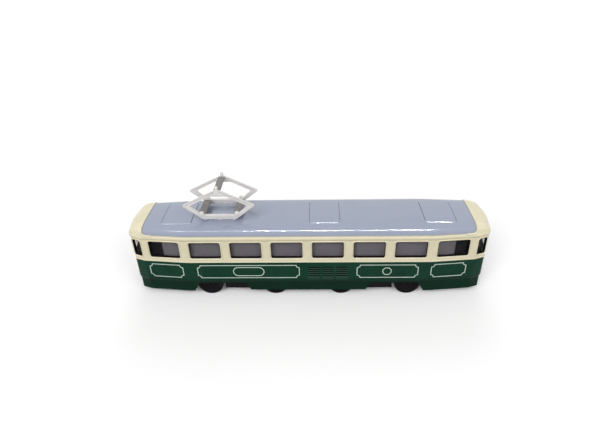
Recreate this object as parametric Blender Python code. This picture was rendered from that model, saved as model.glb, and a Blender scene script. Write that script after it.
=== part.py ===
"""Toy metro railcar: a die-cast lower body, a cream window band with domed ends,
a grey roof panel, a black chassis on four axles and a fixed double-diamond pantograph.

The car stands on z = 0 with its length along X and its middle at the origin.
"front" is the +X end, "left" is the +Y side; both ends and both sides are alike.
All lengths are in metres; MM turns millimetres into metres.
"""

from math import atan2, cos, hypot, pi, radians, sin, tan

import bmesh
import bpy
from mathutils import Matrix, Vector

MM = 0.001

# ---- driving dimensions of the whole car ------------------------------------------------
BODY_LENGTH = 188.0 * MM      # over the two bowed ends
BODY_WIDTH = 35.6 * MM        # over the straight sides
TAPER_LENGTH = 23.0 * MM      # stretch of each side that narrows towards its corner post
TAPER_NARROWING = 2.3 * MM    # how far the side has come in at the corner post
CORNER_LENGTH = 6.0 * MM      # slanted corner wall, along the car
CORNER_NARROWING = 2.3 * MM   # how far that wall comes in
NOSE_BOW = 1.5 * MM           # how far the windscreen wall is bowed forward
NOSE_FLAT_WIDTH = 6.4 * MM    # flat middle of that wall
NOSE_BEND_RADIUS = 12.0 * MM  # where the flat meets the slanted parts
NOSE_CORNER_RADIUS = 3.0 * MM
CORNER_POST_RADIUS = 1.6 * MM
TAPER_BEND_RADIUS = 60.0 * MM

# ---- heights above the floor --------------------------------------------------------------
MIDDLE_SKIRT_Z = 3.8 * MM     # bottom of the skirt between the wheel openings
END_SKIRT_Z = 3.0 * MM        # bottom of the skirt beyond them
STEP_Z = 10.4 * MM            # ledge where the body side steps in to the skirt
BELT_Z = 22.4 * MM            # joint between the green body and the cream band
EAVES_Z = 38.3 * MM           # top of the cream band, where the roof starts
CROWN_Z = 43.6 * MM           # top of the domed ends

# ---- walls and clearances -------------------------------------------------------------------
FIT_GAP = 0.3 * MM            # between pieces that touch
RUNNING_GAP = 0.5 * MM        # between turning pieces and what is beside them
SHELL_WALL = 1.2 * MM
SKIRT_WALL = 1.0 * MM
GREEN_INSET = 0.3 * MM        # green side, in from the gutter
SKIRT_INSET = 0.8 * MM        # skirt, in from the gutter
BAND_INSET = 0.3 * MM         # cream window band, in from the gutter above it
GUTTER_LOW_Z = 36.2 * MM      # bottom of the gutter lip
GUTTER_SLOPE = 0.4 * MM       # height of its sloped underside

# ---- windows --------------------------------------------------------------------------------
SIDE_WINDOWS = 6              # shared out along the straight stretch; one more on each taper
WINDOW_WIDTH = 16.2 * MM
WINDOW_HEIGHT = 9.6 * MM
WINDOW_SILL_Z = 25.3 * MM
WINDOW_CORNER = 1.3 * MM
TAPER_WINDOW_SHIFT = 0.4 * MM  # taper windows, out from the straight stretch's rhythm
CORNER_WINDOW_WIDTH = 5.2 * MM
WINDSCREEN_WIDTH = 9.4 * MM
WINDSCREEN_POST = 2.0 * MM    # post between the two windscreens

# ---- roof -------------------------------------------------------------------------------------
ROOF_END_SETBACK = 9.5 * MM   # end of the grey panel, back from the end of the car
ROOF_EDGE_INSET = 0.3 * MM    # grey panel, in from the cream edge
ROOF_DROP = 0.3 * MM          # grey panel, below the crown of the ends
ROOF_CORNER_RADIUS = 2.0 * MM  # lower corners of the panel, seen from the side
HATCH_LENGTH = 15.6 * MM
HATCH_SIDE_INSET = 5.4 * MM   # hatches, in from the widest part of the car
HATCH_CORNER_RADIUS = 1.5 * MM
HATCH_RAISE = 0.25 * MM
HATCH_END_DISTANCE = 16.7 * MM  # middle of each end hatch, in from the end of the panel
MIDDLE_HATCH_X = 9.0 * MM

# ---- glazing and interior ---------------------------------------------------------------------
GLASS_THICKNESS = 0.8 * MM
GLASS_MARGIN = 1.9 * MM       # glazing strip, past the windows above and below
LINER_END_SETBACK = 17.6 * MM  # end of the liner, back from the end of the car
LINER_CLEARANCE = 0.4 * MM    # between the glazing and the liner
LINER_WALL = 1.0 * MM
LINER_CORNER_RADIUS = 1.5 * MM
LINER_FLOOR_Z = 15.0 * MM
LINER_TOP_Z = 38.0 * MM

# ---- running gear -------------------------------------------------------------------------------
AXLE_COUNT = 4
OUTER_AXLE_INSET = 10.4 * MM  # outer axles, in from the ends of the straight stretch
AXLE_DIAMETER = 2.0 * MM
WHEEL_DIAMETER = 14.0 * MM
WHEEL_WIDTH = 3.4 * MM
WHEEL_RIM = 1.6 * MM          # radial width of the raised rim
WHEEL_HUB_DIAMETER = 4.4 * MM
WHEEL_DISH = 0.6 * MM         # depth of the recess between hub and rim
WHEEL_CHAMFER = 0.35 * MM
AXLE_INSERTION = 2.4 * MM     # how far the axle goes into each wheel

# ---- chassis --------------------------------------------------------------------------------------
FLOOR_Z = 4.2 * MM            # underside of the chassis plate
FLOOR_THICKNESS = 1.4 * MM
WELL_LENGTH = 16.4 * MM       # clear length of each wheel well
RAIL_WIDTH = 1.8 * MM         # rails that carry the axles
RAIL_TOP_Z = 9.6 * MM
POST_DIAMETER = 4.0 * MM      # posts that carry the saloon liner
SIDE_PLATE_HEIGHT = 6.0 * MM
SIDE_PLATE_THICKNESS = 1.4 * MM
SIDE_PLATE_OVERLAP = 1.1 * MM  # side plates, behind the inner edge of the skirt opening
SCREW_END_DISTANCE = 21.0 * MM  # the two chassis screws, in from the ends of the car
SCREW_RECESS_DIAMETER = 5.0 * MM
SCREW_RECESS_DEPTH = 0.7 * MM

# ---- wheel openings in the skirt ------------------------------------------------------------------
OPENING_TOP_Z = 8.6 * MM
OPENING_BEFORE_AXLE = 19.7 * MM  # top corner towards the middle of the car, from the outer axle
OPENING_BEYOND_AXLE = 5.5 * MM   # top corner towards the end of the car
OPENING_SLOPE = 2.6 * MM      # how far its sloped side runs out at the bottom

# ---- louvres ----------------------------------------------------------------------------------------
LOUVRE_X = 10.7 * MM          # middle of the louvre panel
LOUVRE_COLUMNS = 3
LOUVRE_ROWS = 5
LOUVRE_LENGTH = 6.3 * MM
LOUVRE_COLUMN_PITCH = 7.3 * MM
LOUVRE_ROW_PITCH = 1.35 * MM
LOUVRE_TOP_Z = 18.8 * MM      # lip of the top blade
LOUVRE_RAISE = 0.4 * MM       # lip of each blade, out from the wall
LOUVRE_BLADE = 1.3 * MM       # height of a blade below its lip
LOUVRE_LAST_BLADE = 2.2 * MM  # height of the lowest one

# ---- headlamps ----------------------------------------------------------------------------------------
HEADLAMP_DIAMETER = 4.4 * MM
HEADLAMP_SPACING = 12.6 * MM
HEADLAMP_Z = 17.0 * MM
HEADLAMP_PROUD = 0.7 * MM

# ---- pantograph -------------------------------------------------------------------------------------------
PANTO_END_DISTANCE = 49.0 * MM  # middle of the pantograph, in from the rear end of the car
PANTO_FRAME_SPACING = 16.6 * MM  # between the middles of the two diamond frames
PANTO_FRAME_THICKNESS = 1.4 * MM
PANTO_BASE_HALF = 8.65 * MM   # half the base bar's length along its bottom edge
PANTO_ELBOW_HALF = 18.75 * MM  # half the width over the elbows
PANTO_ELBOW_RISE = 7.9 * MM   # elbows above the base bar's bottom edge
PANTO_APEX_RISE = 16.95 * MM  # where the outer edges of the upper arms would meet
PANTO_BASE_HEIGHT = 2.55 * MM  # base bar, from bottom to top edge
PANTO_INNER_BASE_HALF = 9.2 * MM
PANTO_INNER_ELBOW_HALF = 14.9 * MM
PANTO_INNER_ELBOW_RISE = 7.8 * MM
PANTO_GUSSET_HALF = 4.35 * MM  # half the flat of the gusset below the apex
PANTO_GUSSET_RISE = 13.15 * MM
PANTO_NUB_WIDTH = 1.5 * MM
PANTO_NUB_RISE = 18.5 * MM    # top of the nub on the apex
PANTO_BOSS_DIAMETER = 3.0 * MM
PANTO_BOSS_HALF = 9.1 * MM    # bosses and base straps, either side of the middle
PANTO_BOSS_RISE = 3.5 * MM
PANTO_BOSS_PROUD = 0.3 * MM
PANTO_FOOT = 0.3 * MM         # height of the feet below the base bar
PANTO_FOOT_WIDTH = 1.0 * MM
PANTO_FOOT_SPACING = 7.3 * MM
CONTACT_BAR_WIDTH = 3.4 * MM
CONTACT_BAR_THICKNESS = 1.2 * MM
CONTACT_BAR_DROP = 0.4 * MM   # its top, below the apex of the outer edges
BASE_STRAP_WIDTH = 3.8 * MM
BASE_STRAP_THICKNESS = 1.2 * MM
BASE_STRAP_RAISE = 0.2 * MM   # its top, above the base bars
FACE_STEP = 0.1 * MM          # how far a joined foot or boss stays back from a flat face

# ---- smoothness of round forms ----------------------------------------------------------------------------
CORNER_STEPS = 3
WINDOW_STEPS = 3
SMALLEST_RADIUS = 0.3 * MM
WHEEL_SIDES = 24
SMALL_SIDES = 16
OVERCUT = 3.0 * MM            # how far a cutter runs past what it cuts
QUADRANTS = ((-1, -1), (-1, 1), (1, -1), (1, 1))  # signs of x and y

MATERIALS = {  # name: (red, green, blue, roughness, metallic)
    "cream_paint": (0.80, 0.74, 0.55, 0.35, 0.0),
    "green_paint": (0.015, 0.075, 0.045, 0.25, 0.0),
    "roof_grey": (0.33, 0.38, 0.50, 0.40, 0.0),
    "smoked_glass": (0.10, 0.10, 0.11, 0.10, 0.0),
    "liner_grey": (0.11, 0.10, 0.11, 0.60, 0.0),
    "black_plastic": (0.010, 0.010, 0.012, 0.45, 0.0),
    "steel": (0.55, 0.55, 0.56, 0.30, 1.0),
    "silver_plastic": (0.62, 0.62, 0.62, 0.35, 0.3),
    "strap_grey": (0.28, 0.28, 0.27, 0.45, 0.3),
    "lamp_clear": (0.85, 0.85, 0.80, 0.15, 0.0),
}


# ============================== general helpers ==============================

def clear_scene():
    for item in list(bpy.data.objects):
        bpy.data.objects.remove(item, do_unlink=True)


def material(name):
    found = bpy.data.materials.get(name)
    if found:
        return found
    red, green, blue, roughness, metallic = MATERIALS[name]
    made = bpy.data.materials.new(name)
    made.use_nodes = True
    shader = made.node_tree.nodes["Principled BSDF"]
    shader.inputs["Base Color"].default_value = (red, green, blue, 1.0)
    shader.inputs["Roughness"].default_value = roughness
    shader.inputs["Metallic"].default_value = metallic
    return made


def add_object(name, mesh_maker, material_name=None):
    """Makes an object from a bmesh; without a material it is a cutter or a guide."""
    bmesh.ops.recalc_face_normals(mesh_maker, faces=mesh_maker.faces)
    mesh = bpy.data.meshes.new(name)
    mesh_maker.to_mesh(mesh)
    mesh_maker.free()
    made = bpy.data.objects.new(name, mesh)
    bpy.context.scene.collection.objects.link(made)
    if material_name:
        mesh.materials.append(material(material_name))
    else:
        made.hide_render = True
        made.display_type = "WIRE"
    return made


def boolean(target, tool, operation):
    step = target.modifiers.new(f"{operation.lower()}_{tool.name}", "BOOLEAN")
    step.operation = operation
    step.object = tool
    step.solver = "EXACT"


def smooth_round(target, angle=radians(35)):
    target.data.shade_smooth()
    target.data.set_sharp_from_angle(angle=angle)


def rounded_loop(corners, steps=CORNER_STEPS):
    """Closed outline through (u, v, radius) corners, each rounded by an arc."""
    points = []
    count = len(corners)
    for index, (u, v, radius) in enumerate(corners):
        here = Vector((u, v))
        before = Vector(corners[index - 1][:2]) - here
        after = Vector(corners[(index + 1) % count][:2]) - here
        turn = pi - before.angle(after)
        reach = min(radius * tan(turn / 2), 0.49 * before.length, 0.49 * after.length)
        if reach < 1e-7:
            points.append((u, v))
            continue
        arc_radius = reach / tan(turn / 2)
        before.normalize()
        after.normalize()
        centre = here + (before + after).normalized() * hypot(reach, arc_radius)
        start = here + before * reach - centre
        end = here + after * reach - centre
        start_angle = atan2(start.y, start.x)
        sweep = (atan2(end.y, end.x) - start_angle + pi) % (2 * pi) - pi
        for step in range(steps + 1):
            angle = start_angle + sweep * step / steps
            points.append((centre.x + arc_radius * cos(angle), centre.y + arc_radius * sin(angle)))
    return points


def loft(loops, closed=False):
    """Joins 3-D loops of equal length by quads; open stacks get a cap at each end."""
    maker = bmesh.new()
    rows = [[maker.verts.new(point) for point in loop] for loop in loops]
    pairs = list(zip(rows, rows[1:])) + ([(rows[-1], rows[0])] if closed else [])
    for lower, upper in pairs:
        for index in range(len(lower)):
            following = (index + 1) % len(lower)
            maker.faces.new((lower[index], lower[following], upper[following], upper[index]))
    if not closed:
        maker.faces.new(rows[0])
        maker.faces.new(rows[-1])
    return maker


def prism(outline, place, low, high):
    """Extrudes a 2-D outline from low to high; place turns (u, v, w) into a 3-D point."""
    return loft([[place(u, v, level) for u, v in outline] for level in (low, high)])


def along_x(u, v, w):
    return (w, u, v)


def along_y(u, v, w):
    return (u, w, v)


def along_z(u, v, w):
    return (u, v, w)


def add_box(maker, first, second):
    """Adds the box between two opposite corners, given in either order."""
    spans = [sorted(pair) for pair in zip(first, second)]
    verts = [maker.verts.new((x, y, z)) for x in spans[0] for y in spans[1] for z in spans[2]]
    for face in ((0, 1, 3, 2), (4, 6, 7, 5), (0, 4, 5, 1), (2, 3, 7, 6), (0, 2, 6, 4), (1, 5, 7, 3)):
        maker.faces.new([verts[index] for index in face])


def boxes(name, corner_pairs, material_name=None):
    """One object of separate boxes, each given by two opposite corners."""
    maker = bmesh.new()
    for first, second in corner_pairs:
        add_box(maker, first, second)
    return add_object(name, maker, material_name)


def circle_outline(radius, centre=(0.0, 0.0)):
    angles = [2 * pi * side / SMALL_SIDES for side in range(SMALL_SIDES)]
    return [(centre[0] + radius * cos(a), centre[1] + radius * sin(a)) for a in angles]


def rectangle(low, high, radius=0.0):
    """Outline of a rectangle from its low to its high (u, v) corner, with rounded corners."""
    corners = (low, (high[0], low[1]), high, (low[0], high[1]))
    return rounded_loop([(u, v, radius) for u, v in corners])


def mirrored(half):
    """Closes one half of an outline, (u, v, radius) corners, with its image across u = 0."""
    return half + [(-u, v, radius) for u, v, radius in reversed(half)]


def copy_into(maker, source, matrix=None):
    mesh = bpy.data.meshes.new("part_of_cutter")
    if matrix:
        bmesh.ops.transform(source, matrix=matrix, verts=source.verts)
    source.to_mesh(mesh)
    source.free()
    maker.from_mesh(mesh)
    bpy.data.meshes.remove(mesh)


def turned(profile, sides):
    """Solid of revolution about Y through (radius, y) points, from axis to axis."""
    maker = bmesh.new()
    rows = []
    for radius, y in profile:
        if radius == 0:
            rows.append([maker.verts.new((0, y, 0))])
            continue
        angles = [2 * pi * side / sides for side in range(sides)]
        rows.append([maker.verts.new((radius * cos(a), y, radius * sin(a))) for a in angles])
    for lower, upper in zip(rows, rows[1:]):
        for index in range(sides):
            following = (index + 1) % sides
            if len(lower) == 1:
                maker.faces.new((lower[0], upper[index], upper[following]))
            elif len(upper) == 1:
                maker.faces.new((lower[index], lower[following], upper[0]))
            else:
                maker.faces.new((lower[index], lower[following], upper[following], upper[index]))
    return maker


# ============================== the car's outline ==============================

def nose_corner():
    """Where the bowed windscreen wall meets the slanted corner wall."""
    return BODY_LENGTH / 2 - NOSE_BOW, BODY_WIDTH / 2 - TAPER_NARROWING - CORNER_NARROWING


def corner_post():
    """Where the slanted corner wall meets the side."""
    return nose_corner()[0] - CORNER_LENGTH, BODY_WIDTH / 2 - TAPER_NARROWING


def straight_half():
    """Half the length of the straight stretch of the sides."""
    return corner_post()[0] - TAPER_LENGTH


def side_half_width(x, inset=0.0):
    """Half the car's width at a station x of its straight or tapered sides."""
    past = max(abs(x) - straight_half(), 0.0)
    return BODY_WIDTH / 2 - TAPER_NARROWING * past / TAPER_LENGTH - inset


def quarter_corners():
    """Corners of one quarter of the plan, from the end's middle to the straight side:
    x, y, rounding radius."""
    return (
        (BODY_LENGTH / 2, NOSE_FLAT_WIDTH / 2, NOSE_BEND_RADIUS),
        (*nose_corner(), NOSE_CORNER_RADIUS),
        (*corner_post(), CORNER_POST_RADIUS),
        (straight_half(), BODY_WIDTH / 2, TAPER_BEND_RADIUS),
    )


def crossing(first, second):
    """Where two lines, each a (normal, distance) pair, cross."""
    (a, b), c = first
    (d, e), f = second
    scale = a * e - b * d
    return (c * e - b * f) / scale, (a * f - c * d) / scale


def plan(inset=0.0):
    """The car's outline seen from above, pulled in by inset all round."""
    corners = quarter_corners()
    lines = [((1.0, 0.0), corners[0][0] - inset)]
    for (x1, y1, _), (x2, y2, _) in zip(corners, corners[1:]):
        normal = Vector((y2 - y1, x1 - x2)).normalized()
        lines.append(((normal.x, normal.y), normal.x * x1 + normal.y * y1 - inset))
    lines.append(((0.0, 1.0), corners[-1][1] - inset))
    quarter = []
    for corner, first, second in zip(corners, lines, lines[1:]):
        x, y = crossing(first, second)
        quarter.append((x, y, max(corner[2] - inset, SMALLEST_RADIUS)))
    back = [(-x, y, radius) for x, y, radius in reversed(quarter)]
    half = quarter + back
    other_half = [(x, -y, radius) for x, y, radius in reversed(half)]
    return rounded_loop(half + other_half)


def ring(profile):
    """Closed band round the car through (inset, z) points."""
    return loft([[(x, y, z) for x, y in plan(inset)] for inset, z in profile], closed=True)


def solid_stack(profile):
    """Capped solid through (inset, z) levels of the car's outline."""
    return loft([[(x, y, z) for x, y in plan(inset)] for inset, z in profile])


ROOF_CURVE = (  # share of the rise, share of the half width come in, ends come in
    (0.00, 0.000, 0.0 * MM),
    (0.36, 0.023, 0.6 * MM),
    (0.58, 0.063, 1.6 * MM),
    (0.73, 0.126, 3.0 * MM),
    (0.83, 0.223, 5.4 * MM),
    (0.91, 0.383, 9.6 * MM),
    (0.98, 0.634, 14.5 * MM),
    (1.00, 0.880, 20.0 * MM),
)


def domed_hull(walls, drop):
    """Walls through (inset, z) levels and the dome over them, pulled in by the
    last inset and lowered by drop."""
    loops = [[(x, y, z) for x, y in plan(inset)] for inset, z in walls]
    inset = walls[-1][0]
    outline = plan(inset)
    half_length = BODY_LENGTH / 2 - inset
    for rise_share, side_share, end_pull in ROOF_CURVE:
        along = (half_length - end_pull) / half_length
        across = 1 - side_share
        z = EAVES_Z - drop + (CROWN_Z - EAVES_Z) * rise_share
        loops.append([(x * along, y * across, z) for x, y in outline])
    return loft(loops)


def roof_gate(name, grow):
    """Prism across the car that takes in the grey roof panel, grown by a clearance."""
    half = BODY_LENGTH / 2 - ROOF_END_SETBACK + grow
    seat = EAVES_Z + FIT_GAP - grow
    top = CROWN_Z + OVERCUT
    radius = ROOF_CORNER_RADIUS + grow
    outline = rounded_loop(mirrored([(half, seat, radius), (half, top, 0.0)]))
    return add_object(name, prism(outline, along_y, -BODY_WIDTH, BODY_WIDTH))


# ============================== body shells ==============================

def window_outline(centre, width):
    half = width / 2
    low = WINDOW_SILL_Z
    high = WINDOW_SILL_Z + WINDOW_HEIGHT
    corners = ((centre - half, low), (centre + half, low), (centre + half, high), (centre - half, high))
    return rounded_loop([(u, v, WINDOW_CORNER) for u, v in corners], WINDOW_STEPS)


def side_window_centres():
    """Middles of the windows along a side, the taper windows at both ends included."""
    pitch = 2 * straight_half() / SIDE_WINDOWS
    centres = [(index - (SIDE_WINDOWS - 1) / 2) * pitch for index in range(SIDE_WINDOWS)]
    taper = centres[-1] + pitch + TAPER_WINDOW_SHIFT
    return [-taper] + centres + [taper]


def side_window_cutter():
    maker = bmesh.new()
    reach = BODY_WIDTH / 2 + OVERCUT
    for centre in side_window_centres():
        copy_into(maker, prism(window_outline(centre, WINDOW_WIDTH), along_y, -reach, reach))
    return add_object("cut_side_windows", maker)


def corner_window_cutter():
    """Windows in the four slanted corner walls."""
    nose = Vector((*nose_corner(), 0))
    post = Vector((*corner_post(), 0))
    middle = (nose + post) / 2
    facing = atan2(CORNER_LENGTH, CORNER_NARROWING)
    maker = bmesh.new()
    for x_sign, y_sign in QUADRANTS:
        angle = atan2(y_sign * sin(facing), x_sign * cos(facing))
        place = Vector((x_sign * middle.x, y_sign * middle.y, 0))
        cutter = prism(window_outline(0, CORNER_WINDOW_WIDTH), along_x, -2 * SHELL_WALL, OVERCUT)
        copy_into(maker, cutter, Matrix.Translation(place) @ Matrix.Rotation(angle, 4, "Z"))
    return add_object("cut_corner_windows", maker)


def windscreen_cutter():
    """Two windscreens with a post between them in each end wall."""
    maker = bmesh.new()
    outer = BODY_LENGTH / 2 + OVERCUT
    inner = BODY_LENGTH / 2 - NOSE_BOW - 2 * SHELL_WALL
    centre = (WINDSCREEN_POST + WINDSCREEN_WIDTH) / 2
    for y in (-centre, centre):
        for low, high in ((-outer, -inner), (inner, outer)):
            copy_into(maker, prism(window_outline(y, WINDSCREEN_WIDTH), along_x, low, high))
    return add_object("cut_windscreens", maker)


def make_upper_body():
    """Cream band with its windows and gutter, and the domed forehead at each end."""
    walls = (
        (BAND_INSET, BELT_Z),
        (BAND_INSET, GUTTER_LOW_Z),
        (0.0, GUTTER_LOW_Z + GUTTER_SLOPE),
    )
    body = add_object("upper_body", domed_hull(walls, 0.0), "cream_paint")
    hollow = add_object(
        "cut_upper_body_hollow", domed_hull(((SHELL_WALL, BELT_Z - OVERCUT),), SHELL_WALL)
    )
    boolean(body, hollow, "DIFFERENCE")
    boolean(body, roof_gate("cut_roof_seat", FIT_GAP), "DIFFERENCE")
    for cutter in (side_window_cutter(), corner_window_cutter(), windscreen_cutter()):
        boolean(body, cutter, "DIFFERENCE")
    smooth_round(body)


def skirt_cutter():
    """Raises the middle of the skirt and opens it at the outer wheels."""
    low = END_SKIRT_Z - OVERCUT
    foot = OPENING_SLOPE * (OPENING_TOP_Z - low) / (OPENING_TOP_Z - MIDDLE_SKIRT_Z)
    inner = outer_axle() - OPENING_BEFORE_AXLE
    outer = outer_axle() + OPENING_BEYOND_AXLE
    half = [
        (inner - OPENING_SLOPE, MIDDLE_SKIRT_Z, 0.0),
        (inner, OPENING_TOP_Z, 0.0),
        (outer, OPENING_TOP_Z, 0.0),
        (outer + foot, low, 0.0),
    ]
    reach = BODY_WIDTH / 2 + OVERCUT
    return add_object("cut_skirt", prism(rounded_loop(mirrored(half)), along_y, -reach, reach))


def louvre_blades():
    """Blades in rows and columns on both sides, each with its lip at the top."""
    maker = bmesh.new()
    face = BODY_WIDTH / 2 - GREEN_INSET
    root = face - LOUVRE_RAISE / 4
    for column in range(LOUVRE_COLUMNS):
        centre = LOUVRE_X + (column - (LOUVRE_COLUMNS - 1) / 2) * LOUVRE_COLUMN_PITCH
        low, high = centre - LOUVRE_LENGTH / 2, centre + LOUVRE_LENGTH / 2
        for row in range(LOUVRE_ROWS):
            lip = LOUVRE_TOP_Z - row * LOUVRE_ROW_PITCH
            foot = lip - (LOUVRE_LAST_BLADE if row == LOUVRE_ROWS - 1 else LOUVRE_BLADE)
            for side in (-1, 1):
                wedge = [
                    (side * root, lip),
                    (side * (face + LOUVRE_RAISE), lip),
                    (side * root, foot),
                ]
                copy_into(maker, prism(wedge, along_x, low, high))
    return add_object("guide_louvres", maker)


def headlamp_places():
    """Middle of each headlamp on the end walls: name, x, y."""
    end = BODY_LENGTH / 2 - GREEN_INSET
    flat = NOSE_FLAT_WIDTH / 2
    past = (HEADLAMP_SPACING / 2 - flat) / (nose_corner()[1] - flat)
    x = end - NOSE_BOW * past
    for end_name, x_sign in (("rear", -1), ("front", 1)):
        for side_name, y_sign in (("right", -1), ("left", 1)):
            yield f"headlamp_{end_name}_{side_name}", x_sign * x, y_sign * HEADLAMP_SPACING / 2


def headlamp_cutter():
    maker = bmesh.new()
    circle = circle_outline(HEADLAMP_DIAMETER / 2 + FIT_GAP)
    for _, x, y in headlamp_places():
        cutter = prism(circle, along_x, -2 * SHELL_WALL, OVERCUT)
        turn = 0 if x > 0 else pi
        place = Matrix.Translation((x, y, HEADLAMP_Z)) @ Matrix.Rotation(turn, 4, "Z")
        copy_into(maker, cutter, place)
    return add_object("cut_headlamps", maker)


def make_lower_body():
    """Green casting: side walls, step and skirt, with its openings and louvres."""
    top = BELT_Z - FIT_GAP
    profile = (
        (SKIRT_INSET, END_SKIRT_Z),
        (SKIRT_INSET, STEP_Z - (SKIRT_INSET - GREEN_INSET)),
        (GREEN_INSET, STEP_Z),
        (GREEN_INSET, top),
        (GREEN_INSET + SHELL_WALL, top),
        (GREEN_INSET + SHELL_WALL, STEP_Z),
        (SKIRT_INSET + SKIRT_WALL, STEP_Z - (SKIRT_INSET - GREEN_INSET)),
        (SKIRT_INSET + SKIRT_WALL, END_SKIRT_Z),
    )
    body = add_object("lower_body", ring(profile), "green_paint")
    boolean(body, louvre_blades(), "UNION")
    boolean(body, skirt_cutter(), "DIFFERENCE")
    boolean(body, headlamp_cutter(), "DIFFERENCE")
    smooth_round(body)


def hatch_columns():
    """Upright prisms that mark out the three hatches."""
    end_hatch = BODY_LENGTH / 2 - ROOF_END_SETBACK - HATCH_END_DISTANCE
    half_length = HATCH_LENGTH / 2
    half_width = BODY_WIDTH / 2 - HATCH_SIDE_INSET
    maker = bmesh.new()
    for x in (-end_hatch, MIDDLE_HATCH_X, end_hatch):
        outline = rectangle(
            (x - half_length, -half_width), (x + half_length, half_width), HATCH_CORNER_RADIUS
        )
        copy_into(maker, prism(outline, along_z, EAVES_Z + FIT_GAP, CROWN_Z + OVERCUT))
    return add_object("guide_hatch_columns", maker)


def make_roof_panel():
    """Grey panel between the domed ends, with three raised hatches."""
    inset = ROOF_EDGE_INSET
    low = EAVES_Z - OVERCUT
    panel = add_object("roof_panel", domed_hull(((inset, low),), ROOF_DROP), "roof_grey")
    hatches = add_object(
        "guide_hatches", domed_hull(((inset, low),), ROOF_DROP - HATCH_RAISE)
    )
    hollow = add_object(
        "cut_roof_hollow",
        domed_hull(((inset + SHELL_WALL, low - OVERCUT),), ROOF_DROP + SHELL_WALL),
    )
    boolean(hatches, hatch_columns(), "INTERSECT")
    boolean(panel, hatches, "UNION")
    boolean(panel, hollow, "DIFFERENCE")
    boolean(panel, roof_gate("guide_roof_extent", 0.0), "INTERSECT")
    smooth_round(panel)


# ============================== glazing, liner and lamps ==============================

def make_glazing():
    """One clear moulding that runs all round behind the windows."""
    outer = SHELL_WALL + FIT_GAP
    inner = outer + GLASS_THICKNESS
    low = WINDOW_SILL_Z - GLASS_MARGIN
    high = WINDOW_SILL_Z + WINDOW_HEIGHT + GLASS_MARGIN
    glazing = add_object(
        "window_glazing", ring(((outer, low), (outer, high), (inner, high), (inner, low))), "smoked_glass"
    )
    smooth_round(glazing)


def liner_outline(inset):
    """The liner seen from above: its sides follow the glazing, its ends are square."""
    side = SHELL_WALL + FIT_GAP + GLASS_THICKNESS + LINER_CLEARANCE + inset
    half_length = BODY_LENGTH / 2 - LINER_END_SETBACK - inset
    radius = max(LINER_CORNER_RADIUS - inset, SMALLEST_RADIUS)
    right_half = [
        (straight_half(), -side_half_width(0.0, side), 0.0),
        (half_length, -side_half_width(half_length, side), radius),
        (half_length, side_half_width(half_length, side), radius),
        (straight_half(), side_half_width(0.0, side), 0.0),
    ]
    return rounded_loop(mirrored(right_half))


def make_saloon_liner():
    """Grey tray behind the saloon windows, open at the top."""
    liner = add_object(
        "saloon_liner", prism(liner_outline(0.0), along_z, LINER_FLOOR_Z, LINER_TOP_Z), "liner_grey"
    )
    hollow = add_object(
        "cut_liner_hollow",
        prism(liner_outline(LINER_WALL), along_z, LINER_FLOOR_Z + LINER_WALL, LINER_TOP_Z + OVERCUT),
    )
    boolean(liner, hollow, "DIFFERENCE")


def make_headlamps():
    """Round lenses that plug into the end walls."""
    radius = HEADLAMP_DIAMETER / 2
    profile = (
        (0, HEADLAMP_PROUD),
        (radius * 0.55, HEADLAMP_PROUD * 0.86),
        (radius * 0.86, HEADLAMP_PROUD * 0.45),
        (radius, HEADLAMP_PROUD * 0.45),
        (radius, -SHELL_WALL),
        (0, -SHELL_WALL),
    )
    for name, x, y in headlamp_places():
        lamp = add_object(name, turned(profile, SMALL_SIDES), "lamp_clear")
        lamp.location = (x, y, HEADLAMP_Z)
        lamp.rotation_euler = (0, 0, -pi / 2 if x > 0 else pi / 2)
        smooth_round(lamp)


# ============================== running gear ==============================

def outer_axle():
    return straight_half() - OUTER_AXLE_INSET


def axle_stations():
    """The axles, evenly spaced between the two outer ones."""
    pitch = 2 * outer_axle() / (AXLE_COUNT - 1)
    return [-outer_axle() + index * pitch for index in range(AXLE_COUNT)]


def wheel_face_y():
    """Outer face of the wheels, just inside the skirt."""
    return BODY_WIDTH / 2 - SKIRT_INSET - SKIRT_WALL - RUNNING_GAP


def wheel_profile():
    """(radius, y) from the middle of the outer face round to the blind bore; the outer
    face lies at y = 0 and the inner face at y = WHEEL_WIDTH."""
    radius = WHEEL_DIAMETER / 2
    bore = AXLE_DIAMETER / 2 + FIT_GAP
    hub = WHEEL_HUB_DIAMETER / 2
    rim = radius - WHEEL_RIM
    slope = WHEEL_DISH * 0.6
    inner_face = WHEEL_WIDTH
    return (
        (0, 0),
        (hub - WHEEL_CHAMFER, 0),
        (hub, WHEEL_CHAMFER),
        (hub, WHEEL_DISH),
        (rim - slope, WHEEL_DISH),
        (rim, 0),
        (radius - WHEEL_CHAMFER, 0),
        (radius, WHEEL_CHAMFER),
        (radius, inner_face - WHEEL_CHAMFER),
        (radius - WHEEL_CHAMFER, inner_face),
        (bore, inner_face),
        (bore, inner_face - AXLE_INSERTION - FIT_GAP),
        (0, inner_face - AXLE_INSERTION - FIT_GAP),
    )


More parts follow.
